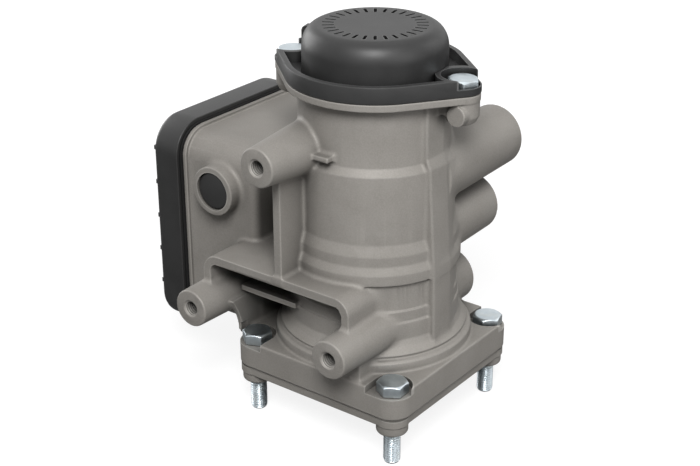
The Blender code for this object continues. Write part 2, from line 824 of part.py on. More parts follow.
def vent_boss():
    """The round boss on the front of the box, with a small fillet at its foot."""
    profile = [
        (0, VENT_Y),
        (VENT_R - VENT_FOOT / 4, VENT_Y),
        (VENT_R, VENT_Y + VENT_FOOT / 4),
        (VENT_R, BOX_FRONT_Y - VENT_FOOT),
        (VENT_R + VENT_FOOT * 0.3, BOX_FRONT_Y - VENT_FOOT * 0.4),
        (VENT_R + VENT_FOOT, BOX_FRONT_Y),
        (VENT_R + VENT_FOOT, BOX_FRONT_Y + BOX_WALL / 2),
        (0, BOX_FRONT_Y + BOX_WALL / 2),
    ]
    return turned(profile, BORE_STEPS, (VENT_X, 0, VENT_Z), "Y")


def port_bosses():
    forms = []
    for x, end_y, z, boss_r, _, _ in PORTS:
        root_r = boss_r + PORT_DRAFT * (end_y - PORT_START_Y)
        forms.append(rod(root_r, PORT_START_Y, end_y, PORT_STEPS, (x, z), "Y", boss_r))
    return merged(forms)


def port_web():
    """The upright web that ties the port bosses together."""
    top_z, low_z = PORTS[0][2], PORTS[-1][2]
    low = (PORT_WEB_X[0], PORT_START_Y + OVERLAP, low_z)
    return brick(low, (PORT_WEB_X[1], PORTS[-1][1] - PORT_WEB_BACK, top_z))


def box_cavities():
    """The room inside the box, shallower in front of the valve block at its foot."""
    front, back = BOX_FRONT_Y + BOX_WALL, BOX_BACK_Y - BOX_WALL
    radius = BOX_CORNER_R - BOX_WALL
    upper = rounded_rect((front, BLOCK_TOP_Z), (back, BOX_TOP_Z - BOX_WALL), radius)
    lower = rounded_rect((front, BOX_BOTTOM_Z + BLOCK_FLOOR), (back, BLOCK_TOP_Z + radius), radius)
    mouth = BOX_RIM_X - REACH
    return prism(upper, mouth, BOX_FLOOR_X, "X"), prism(lower, mouth, BLOCK_FACE_X, "X")


def lid_screw_places():
    out = LIP_OUT + LID_OUT
    low = (BOX_FRONT_Y - out + SCREW_INSET, BOX_BOTTOM_Z - out + SCREW_INSET)
    high = (BOX_BACK_Y + out - SCREW_INSET, BOX_TOP_Z + out - SCREW_INSET)
    return [(low[0], low[1]), (high[0], low[1]), (high[0], high[1]), (low[0], high[1])]


def board_screw_places():
    low, high = board_corners()
    inset = BOARD_POST_INSET
    left, bottom, right, top = low[0] + inset, low[1] + inset, high[0] - inset, high[1] - inset
    return [(left, bottom), (right, bottom), (right, top), (left, top)]


def board_corners():
    front = BOX_FRONT_Y + BOX_WALL + BOARD_MARGIN
    back = BOX_BACK_Y - BOX_WALL - BOARD_MARGIN
    return (front, BOARD_LOW_Z), (back, BOARD_HIGH_Z)


def cavity_posts():
    """Posts inside the box: four for the lid's screws and four for the circuit board."""
    forms = []
    for y, z in lid_screw_places():
        depth = BLOCK_FACE_X + OVERLAP if z < BLOCK_TOP_Z else BOX_FLOOR_X + OVERLAP
        forms.append(rod(SCREW_POST_R, BOX_RIM_X + GAP, depth, SCREW_STEPS, (y, z), "X"))
    for y, z in board_screw_places():
        depth = BLOCK_FACE_X + OVERLAP if z < BLOCK_TOP_Z else BOX_FLOOR_X + OVERLAP
        forms.append(rod(BOARD_POST_R, BOARD_X, depth, SCREW_STEPS, (y, z), "X"))
    return merged(forms)


def spot_faces():
    """Flat seats for the base bolts, each open to the near side of the flange."""
    forms = []
    clear = SPOT_Z + BOLT_HEAD_H + REACH
    for x, y in base_bolt_places():
        side = math.copysign(1, y)
        start = math.pi * (1 + side) / 2
        run = arc((x, y), SPOT_R, start, start + math.pi, 8)
        edge = y + side * (BASE_MARGIN + REACH)
        outline = run + [(run[-1][0], edge), (run[0][0], edge)]
        forms.append(prism(outline, SPOT_Z, clear))
    return merged(forms)


def boss_holes():
    """The thread's core and its chamfer in each mounting boss."""
    forms = []
    chamfer_r = THREAD_R + THREAD_CHAMFER
    for x, z, _ in BOSSES:
        profile = [
            (0, BOSS_FACE_Y - REACH),
            (chamfer_r, BOSS_FACE_Y - REACH),
            (chamfer_r, BOSS_FACE_Y),
            (THREAD_R, BOSS_FACE_Y + THREAD_CHAMFER),
            (THREAD_R, BOSS_FACE_Y + THREAD_DEPTH),
            (0, BOSS_FACE_Y + THREAD_DEPTH + THREAD_R / 2),
        ]
        forms.append(turned(profile, HOLE_STEPS, (x, 0, z), "Y"))
    return forms


def body_holes():
    """Round holes through the casting that don't cross one another."""
    base_ends = (FLANGE_Z - REACH, SPOT_Z + REACH)
    lug_ends = (TOP_Z - FRAME_BOLT_LENGTH - REACH, TOP_Z + REACH)
    forms = [rod(BOLT_HOLE_R, *base_ends, HOLE_STEPS, place) for place in base_bolt_places()]
    forms += [rod(BOLT_HOLE_R, *lug_ends, HOLE_STEPS, place) for place in frame_bolt_places()]
    forms += boss_holes()
    for place in lid_screw_places():
        forms.append(rod(SCREW_HOLE_R, BOX_RIM_X - REACH, BOX_RIM_X + SCREW_LENGTH, SCREW_STEPS, place, "X"))
    for place in board_screw_places():
        forms.append(rod(BOARD_HOLE_R, BOARD_X - REACH, BOARD_X + BLOCK_FACE, SCREW_STEPS, place, "X"))
    return merged(forms)


def port_bores():
    forms = []
    for x, end_y, z, _, thread_r, passage_r in PORTS:
        shoulder = end_y - PORT_DEPTH
        recess_r = PORT_RECESS_R * thread_r / PORTS[0][4]
        profile = [
            (0, PORT_PASSAGE_Y),
            (passage_r, PORT_PASSAGE_Y),
            (passage_r, shoulder - thread_r + passage_r),
            (thread_r, shoulder),
            (thread_r, end_y - PORT_RECESS),
            (recess_r, end_y - PORT_RECESS),
            (recess_r, end_y + REACH),
            (0, end_y + REACH),
        ]
        forms.append(solid("port_bore", turned(profile, PORT_STEPS, (x, 0, z), "Y")))
    return forms


def vent_bore():
    seat = VENT_Y + VENT_SEAT
    inside = BOX_FRONT_Y + BOX_WALL + REACH
    profile = [
        (0, VENT_Y - REACH),
        (VENT_BORE_R, VENT_Y - REACH),
        (VENT_BORE_R, seat),
        (VENT_AIR_R, seat),
        (VENT_AIR_R, inside),
        (0, inside),
    ]
    return turned(profile, BORE_STEPS, (VENT_X, 0, VENT_Z), "Y")


def build_body():
    body = solid("valve_body", turned(body_profile(), BODY_STEPS), cast_metal)
    box = solid("box_form", electronics_box())
    boolean(box, "DIFFERENCE", solid("box_slope", box_slope_cutter()))
    joined = [
        solid("base_flange_form", base_flange()),
        solid("pad_form", side_pad()),
        solid("top_flange_form", prism(lobed_outline(TOP_FLANGE_INSET), TOP_FLANGE_Z, TOP_Z)),
        solid("lug_form", bolt_lugs()),
        solid("lug_bridge_form", lug_bridges()),
        solid("side_boss_form", side_boss()),
        solid("port_form", port_bosses()),
        solid("port_web_form", port_web()),
        solid("neck_form", neck_block()),
        box,
        solid("lip_form", box_lip()),
        solid("arch_form", shelf_arch()),
        solid("boss_form", mounting_bosses()),
        solid("boss_web_form", boss_web()),
        solid("fin_form", boss_fin()),
        solid("low_rib_form", low_rib()),
        solid("foot_web_form", foot_web()),
        solid("base_wall_form", base_wall()),
        solid("vent_form", vent_boss()),
    ]
    boolean(body, "UNION", *joined)
    upper, lower = box_cavities()
    boolean(body, "DIFFERENCE", solid("main_bore", turned(bore_profile(), BORE_STEPS)))
    boolean(body, "DIFFERENCE", solid("box_room", upper), solid("board_room", lower))
    boolean(body, "UNION", solid("post_form", cavity_posts()))
    cutters = (
        solid("spot_face", spot_faces()),
        solid("round_hole", body_holes()),
        *port_bores(),
        solid("vent_hole", vent_bore()),
    )
    boolean(body, "DIFFERENCE", *cutters)


# Base cover, its seal and the bolts


def build_base_cover():
    half = BASE_HALF - COVER_INSET
    edge = 0.0006
    rings = []
    for z, inset in ((0, edge), (edge, 0), (COVER_T, 0)):
        outline = rounded_rect((-half, -half), (half, half), BASE_CORNER_R - COVER_INSET, inset)
        rings.append([placed(point, z, "Z") for point in outline])
    cover = solid("base_cover", lofted(rings), cast_metal)
    boss = [
        (0, COVER_T - OVERLAP),
        (0, -STUD_BOSS_H),
        (STUD_BOSS_R - STUD_BOSS_ROUND, -STUD_BOSS_H),
        (STUD_BOSS_R, -STUD_BOSS_H + STUD_BOSS_ROUND),
        (STUD_BOSS_R, COVER_T - OVERLAP),
    ]
    bosses = merged([turned(boss, HOLE_STEPS, (x, y, 0)) for x, y in base_bolt_places()])
    register_r = PISTON_BORE_R - GAP
    register = ring_profile(register_r - REGISTER_T, register_r, COVER_T - OVERLAP, COVER_T + REGISTER_H)
    tube = [(0, COVER_T - OVERLAP), (TUBE_R, COVER_T - OVERLAP), (TUBE_R, TUBE_TOP_Z), (0, TUBE_TOP_Z)]
    boolean(cover, "UNION", solid("stud_boss_form", bosses))
    boolean(cover, "UNION", solid("register_form", turned(register, INNER_STEPS)))
    boolean(cover, "UNION", solid("tube_form", turned(tube, INNER_STEPS)))
    ends = (-STUD_BOSS_H - REACH, COVER_T + REACH)
    holes = [rod(BOLT_HOLE_R, *ends, HOLE_STEPS, place) for place in base_bolt_places()]
    holes.append(rod(PISTON_GUIDE_R + GAP, COVER_T, TUBE_TOP_Z + REACH, INNER_STEPS))
    groove = ring_profile(*seal_groove(), COVER_T - BASE_SEAL_DEPTH, COVER_T + REACH)
    boolean(cover, "DIFFERENCE", solid("cover_hole", merged(holes)))
    boolean(cover, "DIFFERENCE", solid("seal_groove", turned(groove, INNER_STEPS)))


def seal_groove():
    """Inner and outer radius of the groove in the base cover."""
    inner = PISTON_BORE_R + REGISTER_T
    return inner, inner + BASE_SEAL_W + 2 * GAP


def build_base_seal():
    inner, outer = seal_groove()
    low, high = COVER_T - BASE_SEAL_DEPTH + GAP, COVER_T
    solid("base_seal", turned(ring_profile(inner + GAP, outer - GAP, low, high), INNER_STEPS), rubber)


def hexagon_radius(angle, across_flats):
    sixth = math.pi / 3
    return across_flats / 2 / math.cos((angle % sixth) - sixth / 2)


def hexagon_bolt(seat, head_h, length):
    """A bolt with its head's underside at the seat: hexagon head with a turned chamfer, and a plain shank."""
    steps = 12
    angles = [2 * math.pi * i / steps for i in range(steps)]
    crown_r = BOLT_AF / 2 * 0.93
    slope = math.tan(math.radians(30))
    tip = seat - length

    def circle(radius, z):
        return [(radius * math.cos(a), radius * math.sin(a), z) for a in angles]

    def hexagon(height_of):
        ring = []
        for a in angles:
            r = hexagon_radius(a, BOLT_AF)
            ring.append((r * math.cos(a), r * math.sin(a), height_of(r)))
        return ring

    top = seat + head_h
    return lofted([
        circle(BOLT_R - BOLT_R / 5, tip),
        circle(BOLT_R, tip + BOLT_R / 5),
        circle(BOLT_R, seat),
        hexagon(lambda r: seat),
        hexagon(lambda r: top - (r - crown_r) * slope),
        circle(crown_r, top),
    ])


def build_bolts():
    seat = SPOT_Z + GAP
    for number, ((x, y), turn) in enumerate(zip(base_bolt_places(), BOLT_TURNS), 1):
        bolt = solid(f"base_bolt_{number}", hexagon_bolt(seat, BOLT_HEAD_H, seat + STUD_LENGTH), zinc)
        bolt.location = (x, y, 0)
        bolt.rotation_euler = (0, 0, turn)
    seat = FRAME_SEAT_Z + GAP
    for number, (x, y) in enumerate(frame_bolt_places(), 1):
        length = seat - TOP_Z + FRAME_BOLT_LENGTH
        bolt = solid(f"flange_bolt_{number}", hexagon_bolt(seat, FRAME_BOLT_HEAD_H, length), zinc)
        bolt.location = (x, y, 0)
        bolt.rotation_euler = (0, 0, FRAME_BOLT_ANGLE)


# Silencer


def dome_profile():
    inner_r = DOME_R - DOME_WALL
    top = DOME_Z + DOME_H
    centre = (DOME_R - DOME_EDGE_R, top - DOME_EDGE_H)

    def edge(shrink, steps):
        angles = (math.pi / 2 * i / steps for i in range(steps + 1))
        width, height = DOME_EDGE_R - shrink, DOME_EDGE_H - shrink
        return [(centre[0] + width * math.cos(a), centre[1] + height * math.sin(a)) for a in angles]

    start = [
        (inner_r, DOME_Z),
        (COLLAR_R, DOME_Z),
        (COLLAR_R, DOME_Z + COLLAR_T),
        (DOME_R, DOME_Z + COLLAR_T),
    ]
    crown = [(0, top + DOME_CROWN), (0, top + DOME_CROWN - DOME_WALL)]
    return start + edge(0, 5) + crown + edge(DOME_WALL, 2)[::-1]


def dome_slots():
    forms = []
    low, high = DOME_Z + DOME_H - 2 * DOME_WALL, DOME_Z + DOME_H + REACH
    for i in range(SLOT_COUNT):
        slot = brick((SLOT_INNER_R, -SLOT_W / 2, low), (SLOT_INNER_R + SLOT_LENGTH, SLOT_W / 2, high))
        turn = Matrix.Rotation(2 * math.pi * (i + 0.5) / SLOT_COUNT, 4, "Z")
        bmesh.ops.transform(slot, matrix=turn, verts=slot.verts)
        forms.append(slot)
    return merged(forms)


def dome_lug():
    """The upright catch on the dome's side, over the wall of the left bolt."""
    low = FRAME_TOP_Z + GAP
    high = DOME_Z + DOME_H - LUG_TOP
    outline = [
        (DOME_R - OVERLAP, low),
        (DOME_R + LUG_OUT, low),
        (DOME_R + LUG_OUT, high - LUG_OUT),
        (DOME_R + LUG_OUT / 2, high - LUG_OUT / 4),
        (DOME_R - LUG_OUT, high),
        (DOME_R - OVERLAP, high - LUG_OUT * 2),
    ]
    lug = prism(outline, -LUG_W / 2, LUG_W / 2, "Y")
    bmesh.ops.transform(lug, matrix=Matrix.Rotation(LUG_ANGLE, 4, "Z"), verts=lug.verts)
    return lug


def build_dome():
    dome = solid("silencer_dome", turned(dome_profile(), DOME_STEPS), black_plastic)
    boolean(dome, "UNION", solid("lug_on_dome", dome_lug()))
    boolean(dome, "DIFFERENCE", solid("dome_slot", dome_slots()))


def bolt_walls():
    """A curved wall behind each bolt head, kept inside the frame's outline."""
    wall_r = BOLT_CORNER_R + LOBE_WALL_GAP + LOBE_WALL_T
    low = FRAME_FLOOR_Z - OVERLAP
    walls = [rod(wall_r, low, FRAME_TOP_Z, FRAME_STEPS, place) for place in frame_bolt_places()]
    form = solid("bolt_wall_form", merged(walls))
    outline = prism(lobed_outline(FRAME_WALL / 2), DOME_Z, FRAME_TOP_Z + REACH)
    boolean(form, "INTERSECT", solid("frame_outline", outline))
    return form


def bolt_recesses():
    """The bolt hole, the head's seat and the room round the head, stepped from one to the next."""
    recess_r = BOLT_CORNER_R + LOBE_WALL_GAP
    recesses = []
    for (x, y), rim_h in zip(frame_bolt_places(), LOBE_RIM_H):
        head_r, rim_z = BOLT_CORNER_R + LOBE_HEAD_GAP, FRAME_SEAT_Z + rim_h
        profile = [
            (0, DOME_Z - REACH),
            (BOLT_HOLE_R, DOME_Z - REACH),
            (BOLT_HOLE_R, FRAME_SEAT_Z),
            (head_r, FRAME_SEAT_Z),
            (head_r, rim_z),
            (recess_r, rim_z),
            (recess_r, FRAME_TOP_Z + REACH),
            (0, FRAME_TOP_Z + REACH),
        ]
        recesses.append(turned(profile, FRAME_STEPS, (x, y, 0)))
    return merged(recesses)


def build_frame():
    """The silencer's frame: a lobed floor and a rim wall, with a seat and a wall for each bolt."""
    frame = solid("silencer_flange", prism(lobed_outline(0), DOME_Z, FRAME_TOP_Z), black_plastic)
    pocket = prism(lobed_outline(FRAME_WALL), FRAME_FLOOR_Z, FRAME_TOP_Z + REACH)
    boolean(frame, "DIFFERENCE", solid("frame_pocket", pocket))
    boolean(frame, "UNION", bolt_walls())
    boolean(frame, "DIFFERENCE", solid("frame_recess", bolt_recesses()))
    opening = [
        (0, DOME_Z - REACH),
        (COLLAR_R + GAP, DOME_Z - REACH),
        (COLLAR_R + GAP, DOME_Z + COLLAR_T + GAP),
        (DOME_R + GAP, DOME_Z + COLLAR_T + GAP),
        (DOME_R + GAP, FRAME_TOP_Z + REACH),
        (0, FRAME_TOP_Z + REACH),
    ]
    boolean(frame, "DIFFERENCE", solid("frame_opening", turned(opening, DOME_STEPS)))


def build_silencer_element():
    """The damping pack under the dome: a thick-walled cup, open below."""
    outer_r = DOME_R - DOME_WALL - PACK_GAP
    top = DOME_Z + DOME_H - DOME_WALL - PACK_AIR
    shoulder = DOME_EDGE_R * 0.8
    profile = [
        (PACK_CORE_R, DOME_Z),
        (outer_r, DOME_Z),
        (outer_r, top - shoulder),
        (outer_r - shoulder, top),
        (0, top),
        (0, top - PACK_AIR),
        (PACK_CORE_R, top - PACK_AIR),
    ]
    solid("silencer_element", turned(profile, INNER_STEPS), damping_fibre)


# Valve inside the body


def build_exhaust_guide():
    low = GUIDE_Z + GAP
    groove_z = low + GUIDE_T / 2
    groove_low, groove_high = groove_z - SEAL_GROOVE_H / 2, groove_z + SEAL_GROOVE_H / 2
    groove_r = GUIDE_R - SEAL_GROOVE_DEPTH
    bore_r = POPPET_TUBE_R + GAP
    profile = [
        (bore_r, low),
        (GUIDE_R, low),
        (GUIDE_R, groove_low),
        (groove_r, groove_low),
        (groove_r, groove_high),
        (GUIDE_R, groove_high),
        (GUIDE_R, low + GUIDE_T),
        (GUIDE_HUB_R + REGISTER_T, low + GUIDE_T),
        (GUIDE_HUB_R, low + GUIDE_T + GUIDE_HUB_H),
        (bore_r, low + GUIDE_T + GUIDE_HUB_H),
    ]
    solid("exhaust_guide", turned(profile, INNER_STEPS), turned_metal)
    seal = ring_profile(groove_r + GAP, GUIDE_R, groove_low + GAP, groove_high - GAP)
    solid("guide_seal", turned(seal, INNER_STEPS), rubber)


def build_retaining_ring():
    """The snap ring, open for a few degrees."""
    outer = VALVE_BORE_R + SNAP_RING_DEPTH - GAP
    half = SNAP_RING_OPENING / 2
    outline = arc((0, 0), outer, half, 2 * math.pi - half, INNER_STEPS)
    outline += arc((0, 0), outer - SNAP_RING_W, 2 * math.pi - half, half, INNER_STEPS)
    solid("retaining_ring", prism(outline, SNAP_RING_Z, SNAP_RING_Z + SNAP_RING_T), steel)


def build_poppet():
    tube_top = POPPET_Z + POPPET_T + POPPET_TUBE_H
    seal_z = POPPET_Z + POPPET_SEAL_T
    seal_r = POPPET_R - SEAT_LIP_T / 2
    profile = [
        (POPPET_BORE_R, POPPET_Z),
        (POPPET_SEAL_INNER_R, POPPET_Z),
        (POPPET_SEAL_INNER_R, seal_z + GAP),
        (seal_r, seal_z + GAP),
        (seal_r, POPPET_Z),
        (POPPET_R, POPPET_Z),
        (POPPET_R, POPPET_Z + POPPET_T),
        (POPPET_TUBE_R, POPPET_Z + POPPET_T),
        (POPPET_TUBE_R, tube_top),
        (POPPET_BORE_R, tube_top),
    ]
    solid("valve_poppet", turned(profile, INNER_STEPS), turned_metal, (0, 0, POPPET_Z))
    seal = ring_profile(POPPET_SEAL_INNER_R + GAP, seal_r - GAP, POPPET_Z, seal_z)
    solid("poppet_seal", turned(seal, INNER_STEPS), rubber, (0, 0, POPPET_Z))
    wire_room = GAP + SPRING_WIRE_R
    low = POPPET_Z + POPPET_T + wire_room
    high = GUIDE_Z - wire_room + GAP
    radius = POPPET_TUBE_R + wire_room + GAP
    solid("poppet_spring", coil(radius, SPRING_WIRE_R, low, high, SPRING_TURNS, COIL_STEPS), steel)


def build_piston():
    groove_z = PISTON_Z + PISTON_DISC_T / 2
    groove_low, groove_high = groove_z - SEAL_GROOVE_H / 2, groove_z + SEAL_GROOVE_H / 2
    groove_r = PISTON_R - SEAL_GROOVE_DEPTH
    stem_top = POPPET_Z - EXHAUST_GAP
    profile = [
        (0, PISTON_Z - PISTON_GUIDE_H),
        (PISTON_GUIDE_R, PISTON_Z - PISTON_GUIDE_H),
        (PISTON_GUIDE_R, PISTON_Z),
        (PISTON_R, PISTON_Z),
        (PISTON_R, groove_low),
        (groove_r, groove_low),
        (groove_r, groove_high),
        (PISTON_R, groove_high),
        (PISTON_R, PISTON_TOP),
        (PISTON_STEM_R + PISTON_RECESS_R / 2, PISTON_TOP),
        (PISTON_STEM_R, PISTON_TOP + PISTON_RECESS_DEPTH),
        (PISTON_STEM_R, stem_top),
        (PISTON_STEM_R - PISTON_STEM_WALL, stem_top),
        (PISTON_STEM_R - PISTON_STEM_WALL, stem_top - PISTON_RECESS_DEPTH),
        (0, stem_top - PISTON_RECESS_DEPTH),
    ]
    solid("relay_piston", turned(profile, INNER_STEPS), turned_metal, (0, 0, PISTON_Z))
    seal = ring_profile(groove_r + GAP, PISTON_BORE_R - GAP, groove_low + GAP, groove_high - GAP)
    solid("piston_seal", turned(seal, INNER_STEPS), rubber, (0, 0, PISTON_Z))


# Electronics lid and what the box holds


def lid_outline(inset):
    out = LIP_OUT + LID_OUT
    low = (BOX_FRONT_Y - out, BOX_BOTTOM_Z - out)
    high = (BOX_BACK_Y + out, BOX_TOP_Z + out)
    return rounded_rect(low, high, BOX_CORNER_R + out, inset)


def build_lid():
    """The black lid: a rounded shell with stiffening ribs, screw posts and a round connector socket."""
    edges = (
        (LID_X, LID_EDGE_R),
        (LID_X + LID_EDGE_R * 0.3, LID_EDGE_R * 0.3),
        (LID_X + LID_EDGE_R, 0.0),
        (LID_RIM_X, 0.0),
    )
    rings = [[placed(point, x, "X") for point in lid_outline(inset)] for x, inset in edges]
    lid = solid("electronics_cover", lofted(rings), black_plastic)
    ceiling = LID_X + LID_TOP_T
    room = solid("lid_room", prism(lid_outline(LID_WALL), ceiling, LID_RIM_X + REACH, "X"))
    boolean(lid, "DIFFERENCE", room)
    ends = (ceiling - OVERLAP, LID_RIM_X - GAP)
    posts = [rod(SCREW_POST_R, *ends, SCREW_STEPS, place, "X") for place in lid_screw_places()]
    boolean(lid, "UNION", solid("lid_post_form", merged(posts)))
    boolean(lid, "UNION", solid("lid_rib_form", lid_ribs()))
    socket = (SOCKET_Y, SOCKET_Z)
    mouth = LID_X - SOCKET_DEPTH
    wall = rod(SOCKET_R + SOCKET_WALL, mouth, ceiling - OVERLAP, PORT_STEPS, socket, "X")
    boolean(lid, "UNION", solid("socket_form", wall))
    room = rod(SOCKET_R, mouth - REACH, LID_X - GAP, PORT_STEPS, socket, "X")
    boolean(lid, "DIFFERENCE", solid("socket_room", room))
    boolean(lid, "DIFFERENCE", solid("lid_hole", lid_holes(ceiling)))


def lid_holes(ceiling):
    """Holes for the contact pins and stepped holes for the lid's screws."""
    holes = [rod(PIN_HOLE_R, LID_X - REACH, ceiling + REACH, PIN_STEPS, place, "X") for place in pin_places()]
    head_r, seat = SCREW_HEAD_R + GAP, LID_X + SCREW_HEAD_H + GAP
    for y, z in lid_screw_places():
        profile = [
            (0, LID_X - REACH),
            (head_r, LID_X - REACH),
            (head_r, seat),
            (SCREW_HOLE_R, seat),
            (SCREW_HOLE_R, LID_RIM_X + REACH),
            (0, LID_RIM_X + REACH),
        ]
        holes.append(turned(profile, SCREW_STEPS, (0, y, z), "X"))
    return merged(holes)


def lid_ribs():
    """Level ribs across the lid's outer face."""
    out = LIP_OUT + LID_OUT
    front, back = BOX_FRONT_Y - out + LID_EDGE_R * 0.6, BOX_BACK_Y + out - LID_EDGE_R * 0.6
    top = BOX_TOP_Z + out - LID_RIB_TOP
    forms = []
    for i in range(LID_RIB_COUNT):
        z = top - i * LID_RIB_PITCH
        low = (LID_X - LID_RIB_H, front, z - LID_RIB_W / 2)
        forms.append(brick(low, (LID_X + LID_TOP_T / 2, back, z + LID_RIB_W / 2)))
    return merged(forms)


def build_lid_seal():
    """The flat seal between the lip and the lid's rim."""
    low, high = LID_RIM_X + GAP, BOX_RIM_X - GAP
    seal = solid("cover_seal", prism(lid_outline(SEAL_INSET), low, high, "X"), rubber)
    inside = prism(lid_outline(SEAL_INSET + SEAL_W), low - REACH, high + REACH, "X")
    boolean(seal, "DIFFERENCE", solid("seal_inside", inside))


def pan_screw(head_face, place, head_r, head_h, shank_r, length):
    """A small screw along X with its head's top at the given x."""
    under = head_face + head_h
    profile = [
        (0, head_face),
        (head_r * 0.8, head_face),
        (head_r, head_face + head_h * 0.3),
        (head_r, under),
        (shank_r, under),
        (shank_r, under + length),
        (0, under + length),
    ]
    return turned(profile, SCREW_STEPS, (0, *place), "X")


def build_screws():
    for number, place in enumerate(lid_screw_places(), 1):
        reach = LID_RIM_X - LID_X - SCREW_HEAD_H + LID_GAP + SCREW_LENGTH / 2
        screw = pan_screw(LID_X, place, SCREW_HEAD_R, SCREW_HEAD_H, SCREW_R, reach)
        solid(f"cover_screw_{number}", screw, steel)
    head_h = BOARD_T * 0.75
    for number, place in enumerate(board_screw_places(), 1):
        head_face = BOARD_X - 2 * GAP - BOARD_T - head_h
        screw = pan_screw(head_face, place, BOARD_SCREW_HEAD_R, head_h, BOARD_SCREW_R, BOARD_T + 3 * BOARD_T)
        solid(f"board_screw_{number}", screw, steel)


def pin_places():
    """Four contacts on a circle in the connector."""
    places = []
    for i in range(4):
        angle = math.pi / 4 + math.pi / 2 * i
        places.append((SOCKET_Y + PIN_CIRCLE_R * math.cos(angle), SOCKET_Z + PIN_CIRCLE_R * math.sin(angle)))
    return places


def build_contact_pins():
    board_face = BOARD_X - GAP - BOARD_T
    for number, (y, z) in enumerate(pin_places(), 1):
        profile = [
            (0, LID_X - PIN_OUT),
            (PIN_R * 0.6, LID_X - PIN_OUT),
            (PIN_R, LID_X - PIN_OUT + PIN_R),
            (PIN_R, board_face - GAP),
            (0, board_face - GAP),
        ]
        solid(f"contact_pin_{number}", turned(profile, PIN_STEPS, (0, y, z), "X"), brass)


def build_board():
    low, high = board_corners()
    face = BOARD_X - GAP
    outline = rounded_rect(low, high, BOARD_POST_INSET / 2, 0, 2)
    board = solid("circuit_board", prism(outline, face - BOARD_T, face, "X"), laminate)
    ends = (face - BOARD_T - REACH, face + REACH)
    holes = [rod(BOARD_HOLE_R, *ends, SCREW_STEPS, place, "X") for place in board_screw_places()]
    boolean(board, "DIFFERENCE", solid("board_hole", merged(holes)))


def build_solenoids():
    """Three solenoid valves on the valve block, each a coil with an armature and its return spring."""
    middle = (BOX_FRONT_Y + BOX_BACK_Y) / 2
    low = BLOCK_TOP_Z + GAP
    bore_r = ARMATURE_R + ARMATURE_GAP
    ceiling = low + COIL_H - COIL_CAP_T
    for number in (1, 2, 3):
        y = middle + (number - 2) * COIL_PITCH
        can = [
            (bore_r, low),
            (COIL_R, low),
            (COIL_R, low + COIL_H - COIL_CAP_T / 2),
            (COIL_R - COIL_CAP_T / 2, low + COIL_H),
            (0, low + COIL_H),
            (0, ceiling),
            (bore_r, ceiling),
        ]
        solid(f"solenoid_coil_{number}", turned(can, HOLE_STEPS, (COIL_X, y, 0)), coil_plastic)
        top = low + ARMATURE_H
        slug = [(0, low), (ARMATURE_R, low), (ARMATURE_R, top), (0, top)]
        solid(f"armature_{number}", turned(slug, HOLE_STEPS, (COIL_X, y, 0)), steel, (COIL_X, y, low))
        wire_room = SMALL_SPRING_WIRE_R + GAP
        ends = (top + wire_room, ceiling - wire_room)
        spring = coil(SMALL_SPRING_R, SMALL_SPRING_WIRE_R, *ends, SMALL_SPRING_TURNS, SMALL_COIL_STEPS)
        bmesh.ops.translate(spring, vec=(COIL_X, y, 0), verts=spring.verts)
        solid(f"armature_spring_{number}", spring, steel)


def build_sensor():
    """The pressure sensor on the box's inner wall."""
    face = BOX_FLOOR_X - GAP
    middle = (BOX_FRONT_Y + BOX_BACK_Y) / 2
    neck = SENSOR_R * 0.6
    profile = [
        (0, face - SENSOR_H),
        (neck, face - SENSOR_H),
        (neck, face - SENSOR_H / 3),
        (SENSOR_R, face - SENSOR_H / 3),
        (SENSOR_R, face),
        (0, face),
    ]
    solid("pressure_sensor", turned(profile, HOLE_STEPS, (0, middle, SENSOR_Z), "X"), turned_metal)


def build_vent_plug():
    """The black insert of the vent boss, a little below its rim."""
    seat = VENT_Y + VENT_SEAT - GAP
    front = VENT_Y + VENT_SEAT * 0.15
    radius = VENT_BORE_R - GAP
    profile = [
        (0, front),
        (radius * 0.9, front),
        (radius, front + radius * 0.06),
        (radius, seat),
        (0, seat),
    ]
    solid("vent_plug", turned(profile, BORE_STEPS, (VENT_X, 0, VENT_Z), "Y"), black_plastic)


def main():
    clear_scene()
    build_body()
    build_base_cover()
    build_base_seal()
    build_bolts()
    build_dome()
    build_frame()
    build_silencer_element()
    build_exhaust_guide()
    build_retaining_ring()
    build_poppet()
    build_piston()
    build_lid()
    build_lid_seal()
    build_screws()
    build_contact_pins()
    build_board()
    build_solenoids()
    build_sensor()
    build_vent_plug()


main()
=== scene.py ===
"""Looks of the anti-lock brake pressure modulator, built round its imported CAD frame.

Lengths are millimetres until a piece is made, and metres in the scene. +Z is up, the three mounting
bosses face -Y, the electronics lid faces -X and the port bosses face +Y.
"""

import json
import math

import bmesh
import bpy
import numpy as np
import openvdb as vdb
from mathutils import Matrix, Vector


